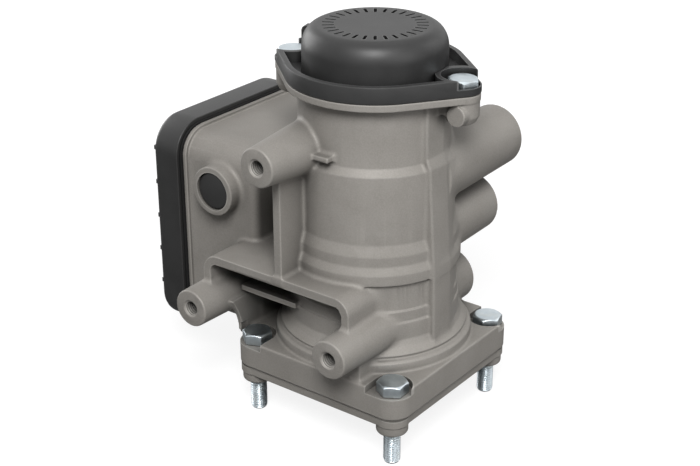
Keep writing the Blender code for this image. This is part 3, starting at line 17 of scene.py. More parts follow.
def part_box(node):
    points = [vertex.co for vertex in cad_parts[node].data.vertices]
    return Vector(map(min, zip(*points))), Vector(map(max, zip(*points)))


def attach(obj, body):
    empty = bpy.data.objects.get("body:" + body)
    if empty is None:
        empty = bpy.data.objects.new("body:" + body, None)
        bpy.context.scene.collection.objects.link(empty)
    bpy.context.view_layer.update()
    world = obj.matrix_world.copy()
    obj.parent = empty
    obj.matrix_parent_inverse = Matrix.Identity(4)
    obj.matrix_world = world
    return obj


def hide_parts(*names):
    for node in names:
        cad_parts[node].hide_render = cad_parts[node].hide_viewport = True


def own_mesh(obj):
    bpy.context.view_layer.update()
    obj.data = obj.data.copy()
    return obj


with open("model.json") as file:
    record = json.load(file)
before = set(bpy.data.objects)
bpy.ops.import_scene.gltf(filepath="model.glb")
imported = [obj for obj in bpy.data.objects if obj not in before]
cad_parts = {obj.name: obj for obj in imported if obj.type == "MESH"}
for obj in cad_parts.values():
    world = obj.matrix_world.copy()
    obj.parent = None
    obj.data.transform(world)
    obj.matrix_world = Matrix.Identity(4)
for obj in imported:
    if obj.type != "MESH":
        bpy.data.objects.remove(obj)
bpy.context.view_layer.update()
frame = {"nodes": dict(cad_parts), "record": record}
SLOTS = {row["node"]: row["material_slot"] for row in frame["record"]["subparts"]}
BODY_OF = {node: body for body, nodes in frame["record"]["behaviour"]["bodies"].items() for node in nodes}

MM = 0.001  # metres in a millimetre
GAP = 0.3  # clearance between pieces that touch
QUARTER = math.pi / 2  # a quarter turn

# Sizes and places that the pieces share, as the CAD model has them
NECK_R, BARREL_R, BELT_R, RING_R, WAIST_R = 35.3, 37.7, 39.5, 41.2, 39.2
BOLT_HALF, BASE_HALF = 40.24, 49.24
FLANGE_Z, FLANGE_TOP, SPOT_Z = 5.1, 19.1, 15.5
LEDGE_Z, NECK_Z, TOP_FLANGE_Z, TOP_Z = 60.7, 115.7, 143.9, 147.3
BOX_Y, BOX_Z = (-29.0, 58.0), (6.0, 106.7)
BOX_INNER_X, BOX_RIM_X = -48.7, -93.2
BOX_CORNER_R, LIP = 12.0, 1.8
BASE_CORNER_R = 10.5
FRAME_BOLT_D, FRAME_BOLT_ANGLE, FRAME_LOBE_R = 44.1, math.radians(6.5), 8.4
FRAME_BOLTS = [
    (s * FRAME_BOLT_D * math.cos(FRAME_BOLT_ANGLE), s * FRAME_BOLT_D * math.sin(FRAME_BOLT_ANGLE)) for s in (1, -1)
]
BASE_BOLTS = [(sx * BOLT_HALF, sy * BOLT_HALF) for sx, sy in ((-1, -1), (1, -1), (1, 1), (-1, 1))]
TOP_BOSS_X, TOP_BOSS_Z, LOW_BOSS_Z = -16.2, 119.0, 36.6
BOSSES = (  # x, z, draft in degrees
    (TOP_BOSS_X, TOP_BOSS_Z, 4.6),
    (-60.0, LOW_BOSS_Z, 1.5),
    (22.3, LOW_BOSS_Z, 1.5),
)
BOSS_R, BOSS_Y = 9.25, -65.0
SHELF_X, SHELF_Y, SHELF_CORNER_R, SHELF_WALL = (-62.15, 24.45), (-52.5, -10.8), 8.5, 4.3
WEB_X = (-18.35, -14.05)
PORTS = (  # x, y of the mouth, z, boss radius, thread radius, passage radius
    (22.7, 69.8, 103.0, 15.2, 10.2, 7.0),
    (17.2, 59.6, 69.8, 14.9, 10.2, 7.0),
    (11.9, 49.8, 32.1, 14.1, 7.2, 4.5),
)
PORT_PITCH, BOLT_PITCH = 1.5, 1.25
HEAD_ACROSS, BOLT_CREST_R, BOLT_HOLE_R = 13.0, 4.0, 4.5
VENT = (-69.5, 84.7)
DOME_R, DOME_Z, DOME_TOP = 33.2, 147.6, 171.4
FRAME_FLOOR_Z, FRAME_SEAT_Z, FRAME_TOP_Z = 150.0, 149.2, 155.2
LID_X, LID_RIM_X, LID_OVER = -110.4, -94.4, 4.7
SOCKET, PIN_CIRCLE_R = (22, 53), 5
PINS = [
    (SOCKET[0] + PIN_CIRCLE_R * math.cos(a), SOCKET[1] + PIN_CIRCLE_R * math.sin(a))
    for a in (math.pi / 4 + i * QUARTER for i in range(4))
]
LID_SCREWS = [(-21, 14), (50, 14), (50, 98.7), (-21, 98.7)]
BOARD_SCREWS = [(-11, 23.5), (40, 23.5), (40, 88), (-11, 88)]
SPRINGS = {  # node: joint that shortens it, travel, wire radius, turns, y of its axis
    "poppet_spring": ("poppet_slide", 2.5, 0.8, 4.5, 0),
    "armature_spring_1": ("armature_a_slide", 0.8, 0.35, 3.5, -8),
    "armature_spring_2": ("armature_b_slide", 0.8, 0.35, 3.5, 14.5),
    "armature_spring_3": ("armature_c_slide", 0.8, 0.35, 3.5, 37),
}
SPRING_STEPS, SPRING_SIDES = 36, 12


# Drawing helpers: each returns points or a bmesh in millimetres, or makes and cuts objects from them


def arc(centre, radius, start, end, steps):
    turns = (start + (end - start) * i / steps for i in range(steps + 1))
    return [(centre[0] + radius * math.cos(a), centre[1] + radius * math.sin(a)) for a in turns]


def rounded_rect(low, high, radius, inset=0.0, steps=12):
    left, bottom, right, top = low[0] + inset, low[1] + inset, high[0] - inset, high[1] - inset
    r = max(radius - inset, 0.5)
    points = []
    corners = ((right - r, bottom + r), (right - r, top - r), (left + r, top - r), (left + r, bottom + r))
    for i, corner in enumerate(corners):
        points += arc(corner, r, (i - 1) * QUARTER, i * QUARTER, steps)
    return points


def lobed_outline(inset):
    """The silencer's outline: a round middle joined by straight sides to a lobe at each bolt."""
    middle_r, lobe_r = DOME_R + 7.8 - inset, FRAME_LOBE_R - inset
    spread = math.acos((middle_r - lobe_r) / FRAME_BOLT_D)
    points = []
    for centre, turn in zip(FRAME_BOLTS, (0.0, math.pi)):
        angle = FRAME_BOLT_ANGLE + turn
        points += arc(centre, lobe_r, angle - spread, angle + spread, 24)
        points += arc((0, 0), middle_r, angle + spread, angle + math.pi - spread, 44)
    return points


AXES = {
    "X": Matrix.Rotation(QUARTER, 4, "Y"),
    "Y": Matrix.Rotation(-QUARTER, 4, "X"),
    "Z": Matrix.Identity(4),
}


def turned(profile, steps, centre=(0, 0, 0), axis="Z"):
    """A closed profile of (radius, height) points spun about an axis through the centre."""
    bm = bmesh.new()
    verts = [bm.verts.new((r, 0, h)) for r, h in profile]
    edges = [bm.edges.new(pair) for pair in zip(verts, verts[1:] + verts[:1]) if max(v.co.x for v in pair) > 0]
    bmesh.ops.spin(bm, geom=verts + edges, cent=(0, 0, 0), axis=(0, 0, 1), angle=2 * math.pi, steps=steps)
    bmesh.ops.remove_doubles(bm, verts=bm.verts, dist=2e-3)
    bmesh.ops.transform(bm, matrix=Matrix.Translation(centre) @ AXES[axis], verts=bm.verts)
    return bm


def rod(radius, low, high, steps, centre=(0, 0), axis="Z"):
    places = {"X": (0, *centre), "Y": (centre[0], 0, centre[1]), "Z": (*centre, 0)}
    return turned([(0, low), (radius, low), (radius, high), (0, high)], steps, places[axis], axis)


def placed(point, height, axis):
    u, v = point
    return {"X": (height, u, v), "Y": (u, height, v), "Z": (u, v, height)}[axis]


def lofted(rings):
    """Rings of points, as many in each, joined by faces and closed at both ends."""
    bm = bmesh.new()
    rows = [[bm.verts.new(point) for point in ring] for ring in rings]
    for low, high in zip(rows, rows[1:]):
        for i, corner in enumerate(low):
            bm.faces.new((low[i - 1], corner, high[i], high[i - 1]))
    bm.faces.new(rows[0])
    bm.faces.new(rows[-1])
    return bm


def stacked(outline_of, levels, axis="Z"):
    """Outlines drawn at (height, inset) levels and joined one to the next."""
    return lofted([[placed(p, height, axis) for p in outline_of(inset)] for height, inset in levels])


def prism(outline, low, high, axis="Z"):
    return stacked(lambda _: outline, ((low, 0), (high, 0)), axis)


def brick(low, high):
    (left, front, bottom), (right, back, top) = low, high
    return prism([(left, front), (right, front), (right, back), (left, back)], bottom, top)


def merged(forms):
    """One bmesh of all the forms, which are used up."""
    whole = bmesh.new()
    for form in forms:
        mesh = bpy.data.meshes.new("form")
        form.to_mesh(mesh)
        form.free()
        whole.from_mesh(mesh)
        bpy.data.meshes.remove(mesh)
    return whole


def ring_profile(inner, outer, low, high):
    return [(inner, low), (outer, low), (outer, high), (inner, high)]


FLANK_SLOPE, ROOT_SHARE = 1.6, 0.3  # how steep a thread's flanks are, and how much of its pitch is root


def threaded(centre, axis, core_r, crest_r, low, high, pitch, steps, turns, ends=0.0):
    """A rod with a helical V thread, steps rows of turns points to a pitch, fading out over ends at each end."""
    rows = []
    count = round((high - low) / pitch * steps)
    for i in range(count + 1):
        height = low + (high - low) * i / count
        fade = min(1.0, (height - low) / max(ends, 1e-6), (high - height) / max(ends, 1e-6)) if ends else 1.0
        row = []
        for k in range(turns):
            phase = (height / pitch - k / turns) % 1.0
            rise = FLANK_SLOPE * (1 - abs(2 * phase - 1)) - ROOT_SHARE
            r = core_r + (crest_r - core_r) * max(0.0, min(1.0, rise)) * fade
            a = 2 * math.pi * k / turns
            row.append((r * math.cos(a), r * math.sin(a), height))
        rows.append(row)
    bm = lofted(rows)
    places = {"X": (0, *centre), "Y": (centre[0], 0, centre[1]), "Z": (*centre, 0)}
    bmesh.ops.transform(bm, matrix=Matrix.Translation(places[axis]) @ AXES[axis], verts=bm.verts)
    return bm


def made_mesh(name, bm):
    """A mesh in metres from a bmesh in millimetres."""
    bmesh.ops.recalc_face_normals(bm, faces=bm.faces)
    bmesh.ops.scale(bm, vec=(MM, MM, MM), verts=bm.verts)
    mesh = bpy.data.meshes.new(name)
    bm.to_mesh(mesh)
    bm.free()
    return mesh


def made_object(name, bm):
    obj = bpy.data.objects.new(name, made_mesh(name, bm))
    bpy.context.scene.collection.objects.link(obj)
    return obj


def apply_modifiers(obj):
    """Bakes the modifiers into the mesh and removes the helpers they used."""
    helpers = [m.object for m in obj.modifiers if m.type == "BOOLEAN"]
    graph = bpy.context.evaluated_depsgraph_get()
    mesh = bpy.data.meshes.new_from_object(obj.evaluated_get(graph))
    obj.modifiers.clear()
    obj.data = mesh
    for helper in helpers:
        bpy.data.objects.remove(helper)


def combine(obj, operation, *forms):
    """Joins or cuts the object with forms, and bakes the result."""
    for form in forms:
        tool = form if isinstance(form, bpy.types.Object) else made_object("tool", form)
        modifier = obj.modifiers.new("tool", "BOOLEAN")
        modifier.operation, modifier.solver, modifier.object = operation, "MANIFOLD", tool
    apply_modifiers(obj)


def soften(obj, width, segments, angle):
    """Rounds the edges that turn by more than the angle."""
    bevel = obj.modifiers.new("edges", "BEVEL")
    bevel.width, bevel.segments, bevel.angle_limit = width * MM, segments, math.radians(angle)
    bevel.limit_method, bevel.use_clamp_overlap, bevel.harden_normals = "ANGLE", False, False


def finish_piece(obj, node, degrees=35):
    """Shades a piece and puts it in the place of its CAD node, on the node's body and in its material slot."""
    obj.data.shade_smooth()
    obj.data.set_sharp_from_angle(angle=math.radians(degrees))
    obj.data.materials.clear()
    obj.data.materials.append(FINISHES[SLOTS[node]])
    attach(obj, BODY_OF[node])
    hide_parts(node)
    return obj


# The casting is blended on a grid of distances, so that its forms meet in fillets

VOXEL = 0.5  # the grid's cell
GRID_LOW = np.array((-98.0, -69.0, 1.0))
GRID_HIGH = np.array((58.0, 74.0, 150.0))
GRID_SHAPE = tuple(int(n) for n in np.ceil((GRID_HIGH - GRID_LOW) / VOXEL))
BAND = 8  # grid cells on each side of a surface that hold its distance


def field_of(*forms):
    """Signed distance in millimetres to closed forms that may run into one another."""
    bm = merged(forms)
    bmesh.ops.triangulate(bm, faces=bm.faces)
    bmesh.ops.recalc_face_normals(bm, faces=bm.faces)
    bm.verts.index_update()
    points = (np.array([v.co for v in bm.verts]) - GRID_LOW) / VOXEL
    faces = np.array([[v.index for v in f.verts] for f in bm.faces], np.uint32)
    bm.free()
    grid = vdb.FloatGrid.createLevelSetFromPolygons(points.astype(np.float32), triangles=faces, halfWidth=BAND)
    field = np.full(GRID_SHAPE, float(BAND), np.float32)
    grid.copyToArray(field)
    return field * VOXEL


def blended(first, second, radius):
    """The union of two fields with a fillet of about that radius where they meet."""
    h = np.maximum(radius - np.abs(first - second), 0) / radius
    return np.minimum(first, second) - h * h * radius / 4


def surface_of(name, field):
    """The field's zero surface as an object."""
    grid = vdb.FloatGrid(float(field.max()))
    grid.copyFromArray(np.ascontiguousarray(field))
    points, quads = grid.convertToQuads(isovalue=0.0)
    points = (points * VOXEL + GRID_LOW) * MM
    mesh = bpy.data.meshes.new(name)
    mesh.from_pydata(points.tolist(), [], quads.tolist())
    mesh.update()
    obj = bpy.data.objects.new(name, mesh)
    bpy.context.scene.collection.objects.link(obj)
    return obj


def sampled(grids, points):
    """Values of several grids at points in grid units, from the eight cells round each point."""
    low = np.clip(np.floor(points).astype(int), 0, np.array(GRID_SHAPE) - 2)
    part = np.clip(points - low, 0, 1)
    total = np.zeros((len(points), len(grids)))
    for corner in np.ndindex(2, 2, 2):
        weight = np.prod(np.where(corner, part, 1 - part), axis=1)
        cell = tuple((low + corner).T)
        total += weight[:, None] * np.stack([grid[cell] for grid in grids], 1)
    return total


def mesh_array(items, name, kind=float, width=3):
    values = np.zeros(len(items) * width, kind)
    items.foreach_get(name, values)
    return values.reshape(-1, width) if width > 1 else values


CLEAR_SLOPE = 0.96  # a distance field's slope is 1, and less where it folds at an edge
STEP_IN, MOST_OF_THE_WAY = 1.3, 0.6  # how far towards a face's centre: grid cells, and share of the way
SURFACE_SHARE = 0.6  # how far from the field's surface, in cells, a face of the casting may lie
SAME_WAY = 0.8  # cosine of the most that a normal may lean from its face's own


def smooth_from_field(obj, field):
    """Takes the normals of the cast surface from the field, so that its facets don't show."""
    mesh = obj.data
    slopes = np.gradient(field)
    corners = mesh_array(mesh.corner_normals, "vector")
    vertex = mesh_array(mesh.loops, "vertex_index", int, 1)
    places = (mesh_array(mesh.vertices, "co") / MM - GRID_LOW) / VOXEL
    sizes = mesh_array(mesh.polygons, "loop_total", int, 1)
    centres = np.repeat((mesh_array(mesh.polygons, "center") / MM - GRID_LOW) / VOXEL, sizes, axis=0)
    faces = np.repeat(mesh_array(mesh.polygons, "normal"), sizes, axis=0)
    points = places[vertex]
    inward = centres - points
    reach = np.linalg.norm(inward, axis=1, keepdims=True)
    inward *= np.minimum(STEP_IN / np.maximum(reach, 1e-6), MOST_OF_THE_WAY)
    at_vertex = sampled(slopes, points) / VOXEL
    beside = sampled(slopes, points + inward) / VOXEL
    at_centre = sampled(slopes, centres) / VOXEL
    beside = np.where(np.linalg.norm(at_centre, axis=1, keepdims=True) > CLEAR_SLOPE, at_centre, beside)
    steep = np.linalg.norm(at_vertex, axis=1, keepdims=True)
    normals = np.where(steep > CLEAR_SLOPE, at_vertex, beside)
    normals /= np.maximum(np.linalg.norm(normals, axis=1, keepdims=True), 1e-6)
    on_cast = np.abs(sampled([field], (centres + points) / 2)) < SURFACE_SHARE * VOXEL
    agrees = (normals * faces).sum(1, keepdims=True) > SAME_WAY
    mesh.normals_split_custom_set(np.where(on_cast & agrees, normals, corners).tolist())


def round_body():
    collar_r, top = 47.2, TOP_Z - 0.5
    foot = [(0, 6.1), (collar_r, 6.1), (collar_r, 23.6), (46.1, 24.6), (44.3, 25.1), (44.3, 25.8), (45.0, 26.6)]
    steps = [(42.2, 29.5), (40.8, 32.5), (40.8, 40.7), (40.0, 41.4), (40.0, 46.4), (WAIST_R, 47.1), (WAIST_R, 60.5)]
    ring = [(RING_R, LEDGE_Z), (RING_R, 65.7), (BELT_R, 69.6), (BELT_R, 74.2)]
    barrel = [(BARREL_R, 79.5), (BARREL_R, 112.2), (NECK_R, NECK_Z), (NECK_R, top), (0, top)]
    return turned(foot + steps + ring + barrel, 360)


def side_pad():
    """The flat-faced rib up the right side, drawn as sections at (height, distance of its face)."""
    inner_x, front = 30, -10.5
    rings = []
    for z, x in ((18.1, 42.6), (LEDGE_Z, 41.8), (113.3, 38.3), (118.1, 36.5), (146.3, 35.9)):
        section = [(inner_x, front), (x - 0.8, front), (x, front + 0.8), (x, 2.5), (x - 2.4, 9.5), (inner_x, 10.3)]
        rings.append([(u, v, z) for u, v in section])
    return lofted(rings)


def base_flange():
    low, high = (-BASE_HALF, -BASE_HALF), (BASE_HALF, BASE_HALF)
    levels = ((FLANGE_Z, 0), (FLANGE_TOP - 0.8, 0), (FLANGE_TOP - 0.2, 0.3), (FLANGE_TOP, 0.9))
    return stacked(lambda inset: rounded_rect(low, high, BASE_CORNER_R, inset, 40), levels)


def top_flange_forms():
    """The flange, a lug with its arm under each bolt, and the peg beside the right one."""
    forms = [prism(lobed_outline(0.2), TOP_FLANGE_Z, TOP_Z)]
    lug_r, bottom, top = 7.9, TOP_Z - 14.5, TOP_Z - 1
    arm_half, arm_start, arm_bottom = 6.7, 29, TOP_Z - 10
    profile = [(0, bottom), (4.4, bottom), (6.6, bottom + 1.2), (lug_r, bottom + 4.0), (lug_r, top), (0, top)]
    for x, y in FRAME_BOLTS:
        forms.append(turned(profile, 48, (x, y, 0)))
        along = Vector((x, y)).normalized()
        across = Vector((-along.y, along.x)) * arm_half
        inner, outer = along * arm_start, Vector((x, y))
        outline = [inner - across, outer - across, outer + across, inner + across]
        forms.append(prism([tuple(p) for p in outline], arm_bottom, top))
    x, y = FRAME_BOLTS[0]
    peg_r, peg_length = 4.7, 8.5
    forms.append(rod(peg_r, y - peg_length, y, 40, (x + 2.1, TOP_Z - 9.0), "Y"))
    return forms


def mounting_boss(x, z, draft):
    """A boss that widens with its draft. The one in front of the box is the shorter."""
    length = 38.0 if x < BOX_INNER_X else 48.8
    edge, root_r = 0.5, BOSS_R + math.tan(math.radians(draft)) * length
    profile = [(0, BOSS_Y), (BOSS_R - edge, BOSS_Y), (BOSS_R, BOSS_Y + edge)]
    profile += [(root_r, BOSS_Y + length), (0, BOSS_Y + length)]
    return turned(profile, 160, (x, 0, z), "Y")


def shelf_arch():
    """The shelf with its two legs, which end at the lower bosses."""
    (left, right), r, low = SHELF_X, SHELF_CORNER_R, LOW_BOSS_Z
    shoulder, inner_r = LEDGE_Z - r, r - SHELF_WALL
    outer = arc((right - r, shoulder), r, 0, QUARTER, 12) + arc((left + r, shoulder), r, QUARTER, math.pi, 12)
    inner = arc((left + r, shoulder), inner_r, math.pi, QUARTER, 12)
    inner += arc((right - r, shoulder), inner_r, QUARTER, 0, 12)
    outline = [(right, low), *outer, (left, low), (left + SHELF_WALL, low), *inner, (right - SHELF_WALL, low)]
    return prism(outline, *SHELF_Y, "Y")


def base_wall():
    """The thin wall from the base flange up to the left boss, with a curved front edge."""
    foot_y, top_y, curve = -41.24, -48.2, 1.7
    front = [(foot_y, FLANGE_TOP - 1)]
    for i in range(13):
        t = i / 12
        front.append((foot_y + (top_y - foot_y) * t**curve, FLANGE_TOP + (LOW_BOSS_Z - FLANGE_TOP) * t))
    outline = front + [(SHELF_Y[1], LOW_BOSS_Z + 1), (SHELF_Y[1], FLANGE_TOP - 1)]
    return prism(outline, -51.34, -48.54, "X")


def box_forms():
    """The box with its sloped underside, and the lip round its rim."""
    low, high = (BOX_Y[0], BOX_Z[0]), (BOX_Y[1], BOX_Z[1])
    edge = 4.0
    levels = [(BOX_RIM_X + 1.1, 0.0), (BOX_INNER_X - edge, 0.0)]
    for a in (0.2, 0.4, 0.6, 0.8, 1.0, 1.2, 1.4, QUARTER):
        levels.append((BOX_INNER_X - edge + edge * math.sin(a), edge - edge * math.cos(a)))
    box = made_object("box", stacked(lambda inset: rounded_rect(low, high, BOX_CORNER_R, inset, 36), levels, "X"))
    slope = [(-91, 4), (-91, 6), (-74, 17), (-46.7, 17), (-46.7, 4)]
    combine(box, "DIFFERENCE", prism(slope, BOX_Y[0] - 2, BOX_Y[1] + 2, "Y"))
    shell = bmesh.new()
    shell.from_mesh(box.data)
    bmesh.ops.scale(shell, vec=(1000, 1000, 1000), verts=shell.verts)
    bpy.data.objects.remove(box)
    lip = rounded_rect(low, high, BOX_CORNER_R, -LIP, 36)
    return [shell, prism(lip, BOX_RIM_X, BOX_RIM_X + 2.2, "X")]


def vent_form():
    radius, front, back = 12.25, -36.5, -27
    profile = [(0, front), (radius - 0.35, front), (radius, front + 0.4), (radius, back), (0, back)]
    return turned(profile, 180, (VENT[0], 0, VENT[1]), "Y")


def port_forms():
    forms = []
    start_y, draft, edge = 6, 0.0175, 0.6
    for x, end_y, z, boss_r, _, _ in PORTS:
        root_r = boss_r + draft * (end_y - start_y)
        profile = [(0, start_y), (root_r, start_y), (boss_r, end_y - edge), (boss_r - edge, end_y), (0, end_y)]
        forms.append(turned(profile, 200, (x, 0, z), "Y"))
    link_low, link_high = (14, 7, PORTS[2][2]), (21, 35.8, PORTS[0][2])
    forms.append(brick(link_low, link_high))
    return forms


WEB = (WEB_X[0], -52.2, 58.5), (WEB_X[1], -16.2, TOP_BOSS_Z)
FINS = (  # low corner, high corner, fillet
    ((TOP_BOSS_X, -40.2, 118.0), (3.6, -27.0, 120.3), 1.2),
    ((-49.7, -40.0, 39.9), (TOP_BOSS_X, SHELF_Y[1], 42.5), 1.2),
    ((17.55, -47.7, 18.1), (27.05, -26.4, LOW_BOSS_Z), 2.0),
)


def casting_field():
    """The whole casting, each form joined to what came before with the fillet it has there."""
    body = field_of(round_body())
    body = blended(body, field_of(side_pad()), 1.6)
    body = blended(body, field_of(base_flange()), 1.4)
    body = blended(body, field_of(*top_flange_forms()), 2.0)
    body = blended(body, field_of(*port_forms()), 2.2)
    box = blended(field_of(*box_forms()), field_of(vent_form()), 2.6)
    link = rounded_rect((-8, 40), (28, 104), 7.2)
    body = blended(body, field_of(prism(link, -50, -27, "X")), 1.2)
    body = blended(body, box, 1.6)
    ribs = blended(field_of(shelf_arch()), field_of(brick(*WEB)), 2.4)
    ribs = blended(ribs, field_of(*(mounting_boss(*boss) for boss in BOSSES)), 2.6)
    for low, high, fillet in FINS:
        ribs = blended(ribs, field_of(brick(low, high)), fillet)
    ribs = blended(ribs, field_of(base_wall()), 1.6)
    return blended(body, ribs, 2.4)


def box_room():
    """The space inside the box, with the posts for the lid's screws and the circuit board left standing."""
    (left, right), corner_r, deep_from_z = (-25.5, 54.5), 8.5, 34
    mouth_x, back_x, shallow_x = BOX_RIM_X - 2, -52.2, -85.7
    upper = prism(rounded_rect((left, deep_from_z), (right, 103.2), corner_r, 0, 6), mouth_x, back_x, "X")
    lower = prism(rounded_rect((left, 14), (right, 42.5), corner_r, 0, 6), mouth_x, shallow_x, "X")
    room = made_object("room", upper)
    combine(room, "UNION", lower)
    posts = []
    for places, radius, top_x, steps in ((LID_SCREWS, 4.2, -92.9, 20), (BOARD_SCREWS, 3.0, -88.1, 16)):
        for y, z in places:
            posts.append(rod(radius, top_x, -84 if z < deep_from_z else -50, steps, (y, z), "X"))
    combine(room, "DIFFERENCE", merged(posts))
    return room


def spot_faces():
    """A milled seat for each base bolt's head, open towards the flange's edge."""
    radius, reach, top = 9.2, 11, 23
    forms = []
    for x, y in BASE_BOLTS:
        side = math.copysign(1, y)
        start = math.pi * (1 + side) / 2
        run = arc((x, y), radius, start, start + math.pi, 32)
        edge = y + side * reach
        forms.append(prism(run + [(run[-1][0], edge), (run[0][0], edge)], SPOT_Z, top))
    return merged(forms)


def plain_holes():
    forms = [rod(BOLT_HOLE_R, 3, 17, 32, place) for place in BASE_BOLTS]
    forms += [rod(BOLT_HOLE_R, TOP_Z - 12, TOP_Z + 2, 32, place) for place in FRAME_BOLTS]
    forms += [rod(2.1, -96, -71.2, 16, place, "X") for place in LID_SCREWS]
    forms += [rod(1.5, -90, -80.6, 12, place, "X") for place in BOARD_SCREWS]
    return merged(forms)


def threaded_hole(centre, face, away, core_r, crest_r, depth, pitch, steps, turns):
    """A chamfered hole along Y from a face, with its thread cut in the wall."""
    x, z = centre
    inner = face + away * depth
    thread = made_object("thread", threaded(centre, "Y", core_r, crest_r, *sorted((face, inner)), pitch, steps, turns))
    out, mouth_r, cone_end = face - away * 2, crest_r + 0.4, face + away * 1.1
    cone = [(0, out), (mouth_r, out), (mouth_r, face), (core_r - 0.2, cone_end), (0, cone_end)]
    combine(thread, "UNION", turned(cone, turns, (x, 0, z), "Y"))
    return thread


def boss_holes():
    core_r, depth = 3.3, 17
    return [
        threaded_hole((x, z), BOSS_Y, 1, core_r, BOLT_CREST_R, depth, BOLT_PITCH, 8, 36) for x, z, _ in BOSSES
    ]


def port_holes():
    """Each port: a recess for the union's seal, the thread, and the passage towards the valve."""
    tools = []
    recess_depth, thread_depth, passage_start = 1, 15, 12
    for x, end_y, z, _, thread_r, passage_r in PORTS:
        recess_r = 12.4 * thread_r / 10.2
        face, floor = end_y - recess_depth, end_y - 16
        passage = [(0, passage_start), (passage_r, passage_start), (passage_r, floor - 3), (thread_r - 1, floor)]
        passage += [(thread_r - 1, floor + 1), (0, floor + 1)]
        tools.append(threaded_hole((x, z), face, -1, thread_r - 0.7, thread_r, thread_depth, PORT_PITCH, 6, 60))
        combine(tools[-1], "UNION", turned(passage, 60, (x, 0, z), "Y"))
        combine(tools[-1], "UNION", rod(recess_r, face, end_y + 2, 72, (x, z), "Y"))
    return tools


def main_bore():
    """The stepped bore, from the piston's chamber up to the groove for the exhaust guide's ring."""
    chamber = [(0, 3), (33, 3), (33, 56), (27, 58), (27, 84)]
    seat = [(14, 84), (14, 90), (16, 90), (16, 88), (26.5, 88), (26.5, 116)]
    guide = [(28, 116), (28, 126.3), (29.3, 126.3), (29.3, 128.6), (28, 128.6), (28, 149.5), (0, 149.5)]
    return turned(chamber + seat + guide, 96)


def vent_bore():
    wide_r, narrow_r, step = 9.5, 7, -30.5
    profile = [(0, -39), (wide_r, -39), (wide_r, step), (narrow_r, step), (narrow_r, -23.5), (0, -23.5)]
    return turned(profile, 64, (VENT[0], 0, VENT[1]), "Y")


CASTING_TRIANGLES = 140_000


def build_casting():
    """The blended surface, thinned and cut: bore, box room, seats, plain holes, then the threaded ones."""
    field = casting_field()
    casting = surface_of("casting", field)
    thinned = casting.modifiers.new("thinned", "DECIMATE")
    thinned.ratio = CASTING_TRIANGLES / (2 * len(casting.data.polygons))
    apply_modifiers(casting)
    combine(casting, "DIFFERENCE", main_bore(), box_room(), spot_faces(), plain_holes(), vent_bore())
    combine(casting, "DIFFERENCE", *boss_holes(), *port_holes())
    finish_piece(casting, "valve_body", 40)
    smooth_from_field(casting, field)


# Materials


class Nodes:
    """A material's node tree, with short calls to add nodes and join them."""

    def __init__(self, name):
        self.material = bpy.data.materials.new(name)
        self.material.use_nodes = True
        self.tree = self.material.node_tree
        self.shader = self.tree.nodes["Principled BSDF"]
        self.place = self.add("ShaderNodeTexCoord").outputs["Object"]

    def add(self, kind, inputs=(), **settings):
        node = self.tree.nodes.new(kind)
        for key, value in settings.items():
            setattr(node, key, value)
        for key, value in dict(inputs).items():
            self.feed(node.inputs[key], value)
        return node

    def feed(self, socket, value):
        if isinstance(value, bpy.types.NodeSocket):
            self.tree.links.new(value, socket)
        else:
            socket.default_value = value

    def noise(self, scale, detail=3.0, roughness=0.55, where=None):
        inputs = {"Vector": where or self.place, "Scale": scale, "Detail": detail, "Roughness": roughness}
        return self.add("ShaderNodeTexNoise", inputs).outputs["Fac"]

    def math(self, operation, a, b=0.0):
        node = self.add("ShaderNodeMath", operation=operation)
        self.feed(node.inputs[0], a)
        self.feed(node.inputs[1], b)
        return node.outputs[0]

    def ramp(self, value, low, high, to_low=0.0, to_high=1.0):
        inputs = {"Value": value, "From Min": low, "From Max": high, "To Min": to_low, "To Max": to_high}
        return self.add("ShaderNodeMapRange", inputs).outputs["Result"]

    def mix(self, factor, a, b):
        node = self.add("ShaderNodeMix", data_type="RGBA")
        for socket, value in zip((node.inputs[0], node.inputs[6], node.inputs[7]), (factor, a, b)):
            self.feed(socket, value if isinstance(value, (float, bpy.types.NodeSocket)) else (*value, 1.0))
        return node.outputs[2]

    def bump(self, height, distance, strength=1.0, below=None):
        inputs = {"Height": height, "Distance": distance, "Strength": strength}
        if below is not None:
            inputs["Normal"] = below
        return self.add("ShaderNodeBump", inputs).outputs["Normal"]

    def edges(self, reach):
        """1 on edges that stand out, 0 on flats and in hollows; the mask for a painted highlight along edges."""
        inside = self.add("ShaderNodeAmbientOcclusion", {"Distance": reach * MM}, inside=True, samples=8)
        return self.ramp(inside.outputs["AO"], 0.9, 0.5)

    def hollows(self, reach):
        """1 deep in hollows, 0 on open surfaces; the mask for painted shade in hollows, recesses and under overhangs.
        """
        open_sky = self.add("ShaderNodeAmbientOcclusion", {"Distance": reach * MM}, samples=8)
        return self.ramp(open_sky.outputs["AO"], 0.75, 0.15)

    def finish(self, colour, roughness, metallic, normal=None, specular=0.5):
        self.feed(self.shader.inputs["Base Color"], colour)
        self.feed(self.shader.inputs["Roughness"], roughness)
        self.shader.inputs["Metallic"].default_value = metallic
        self.shader.inputs["Specular IOR Level"].default_value = specular
        if normal is not None:
            self.feed(self.shader.inputs["Normal"], normal)
        return self.material


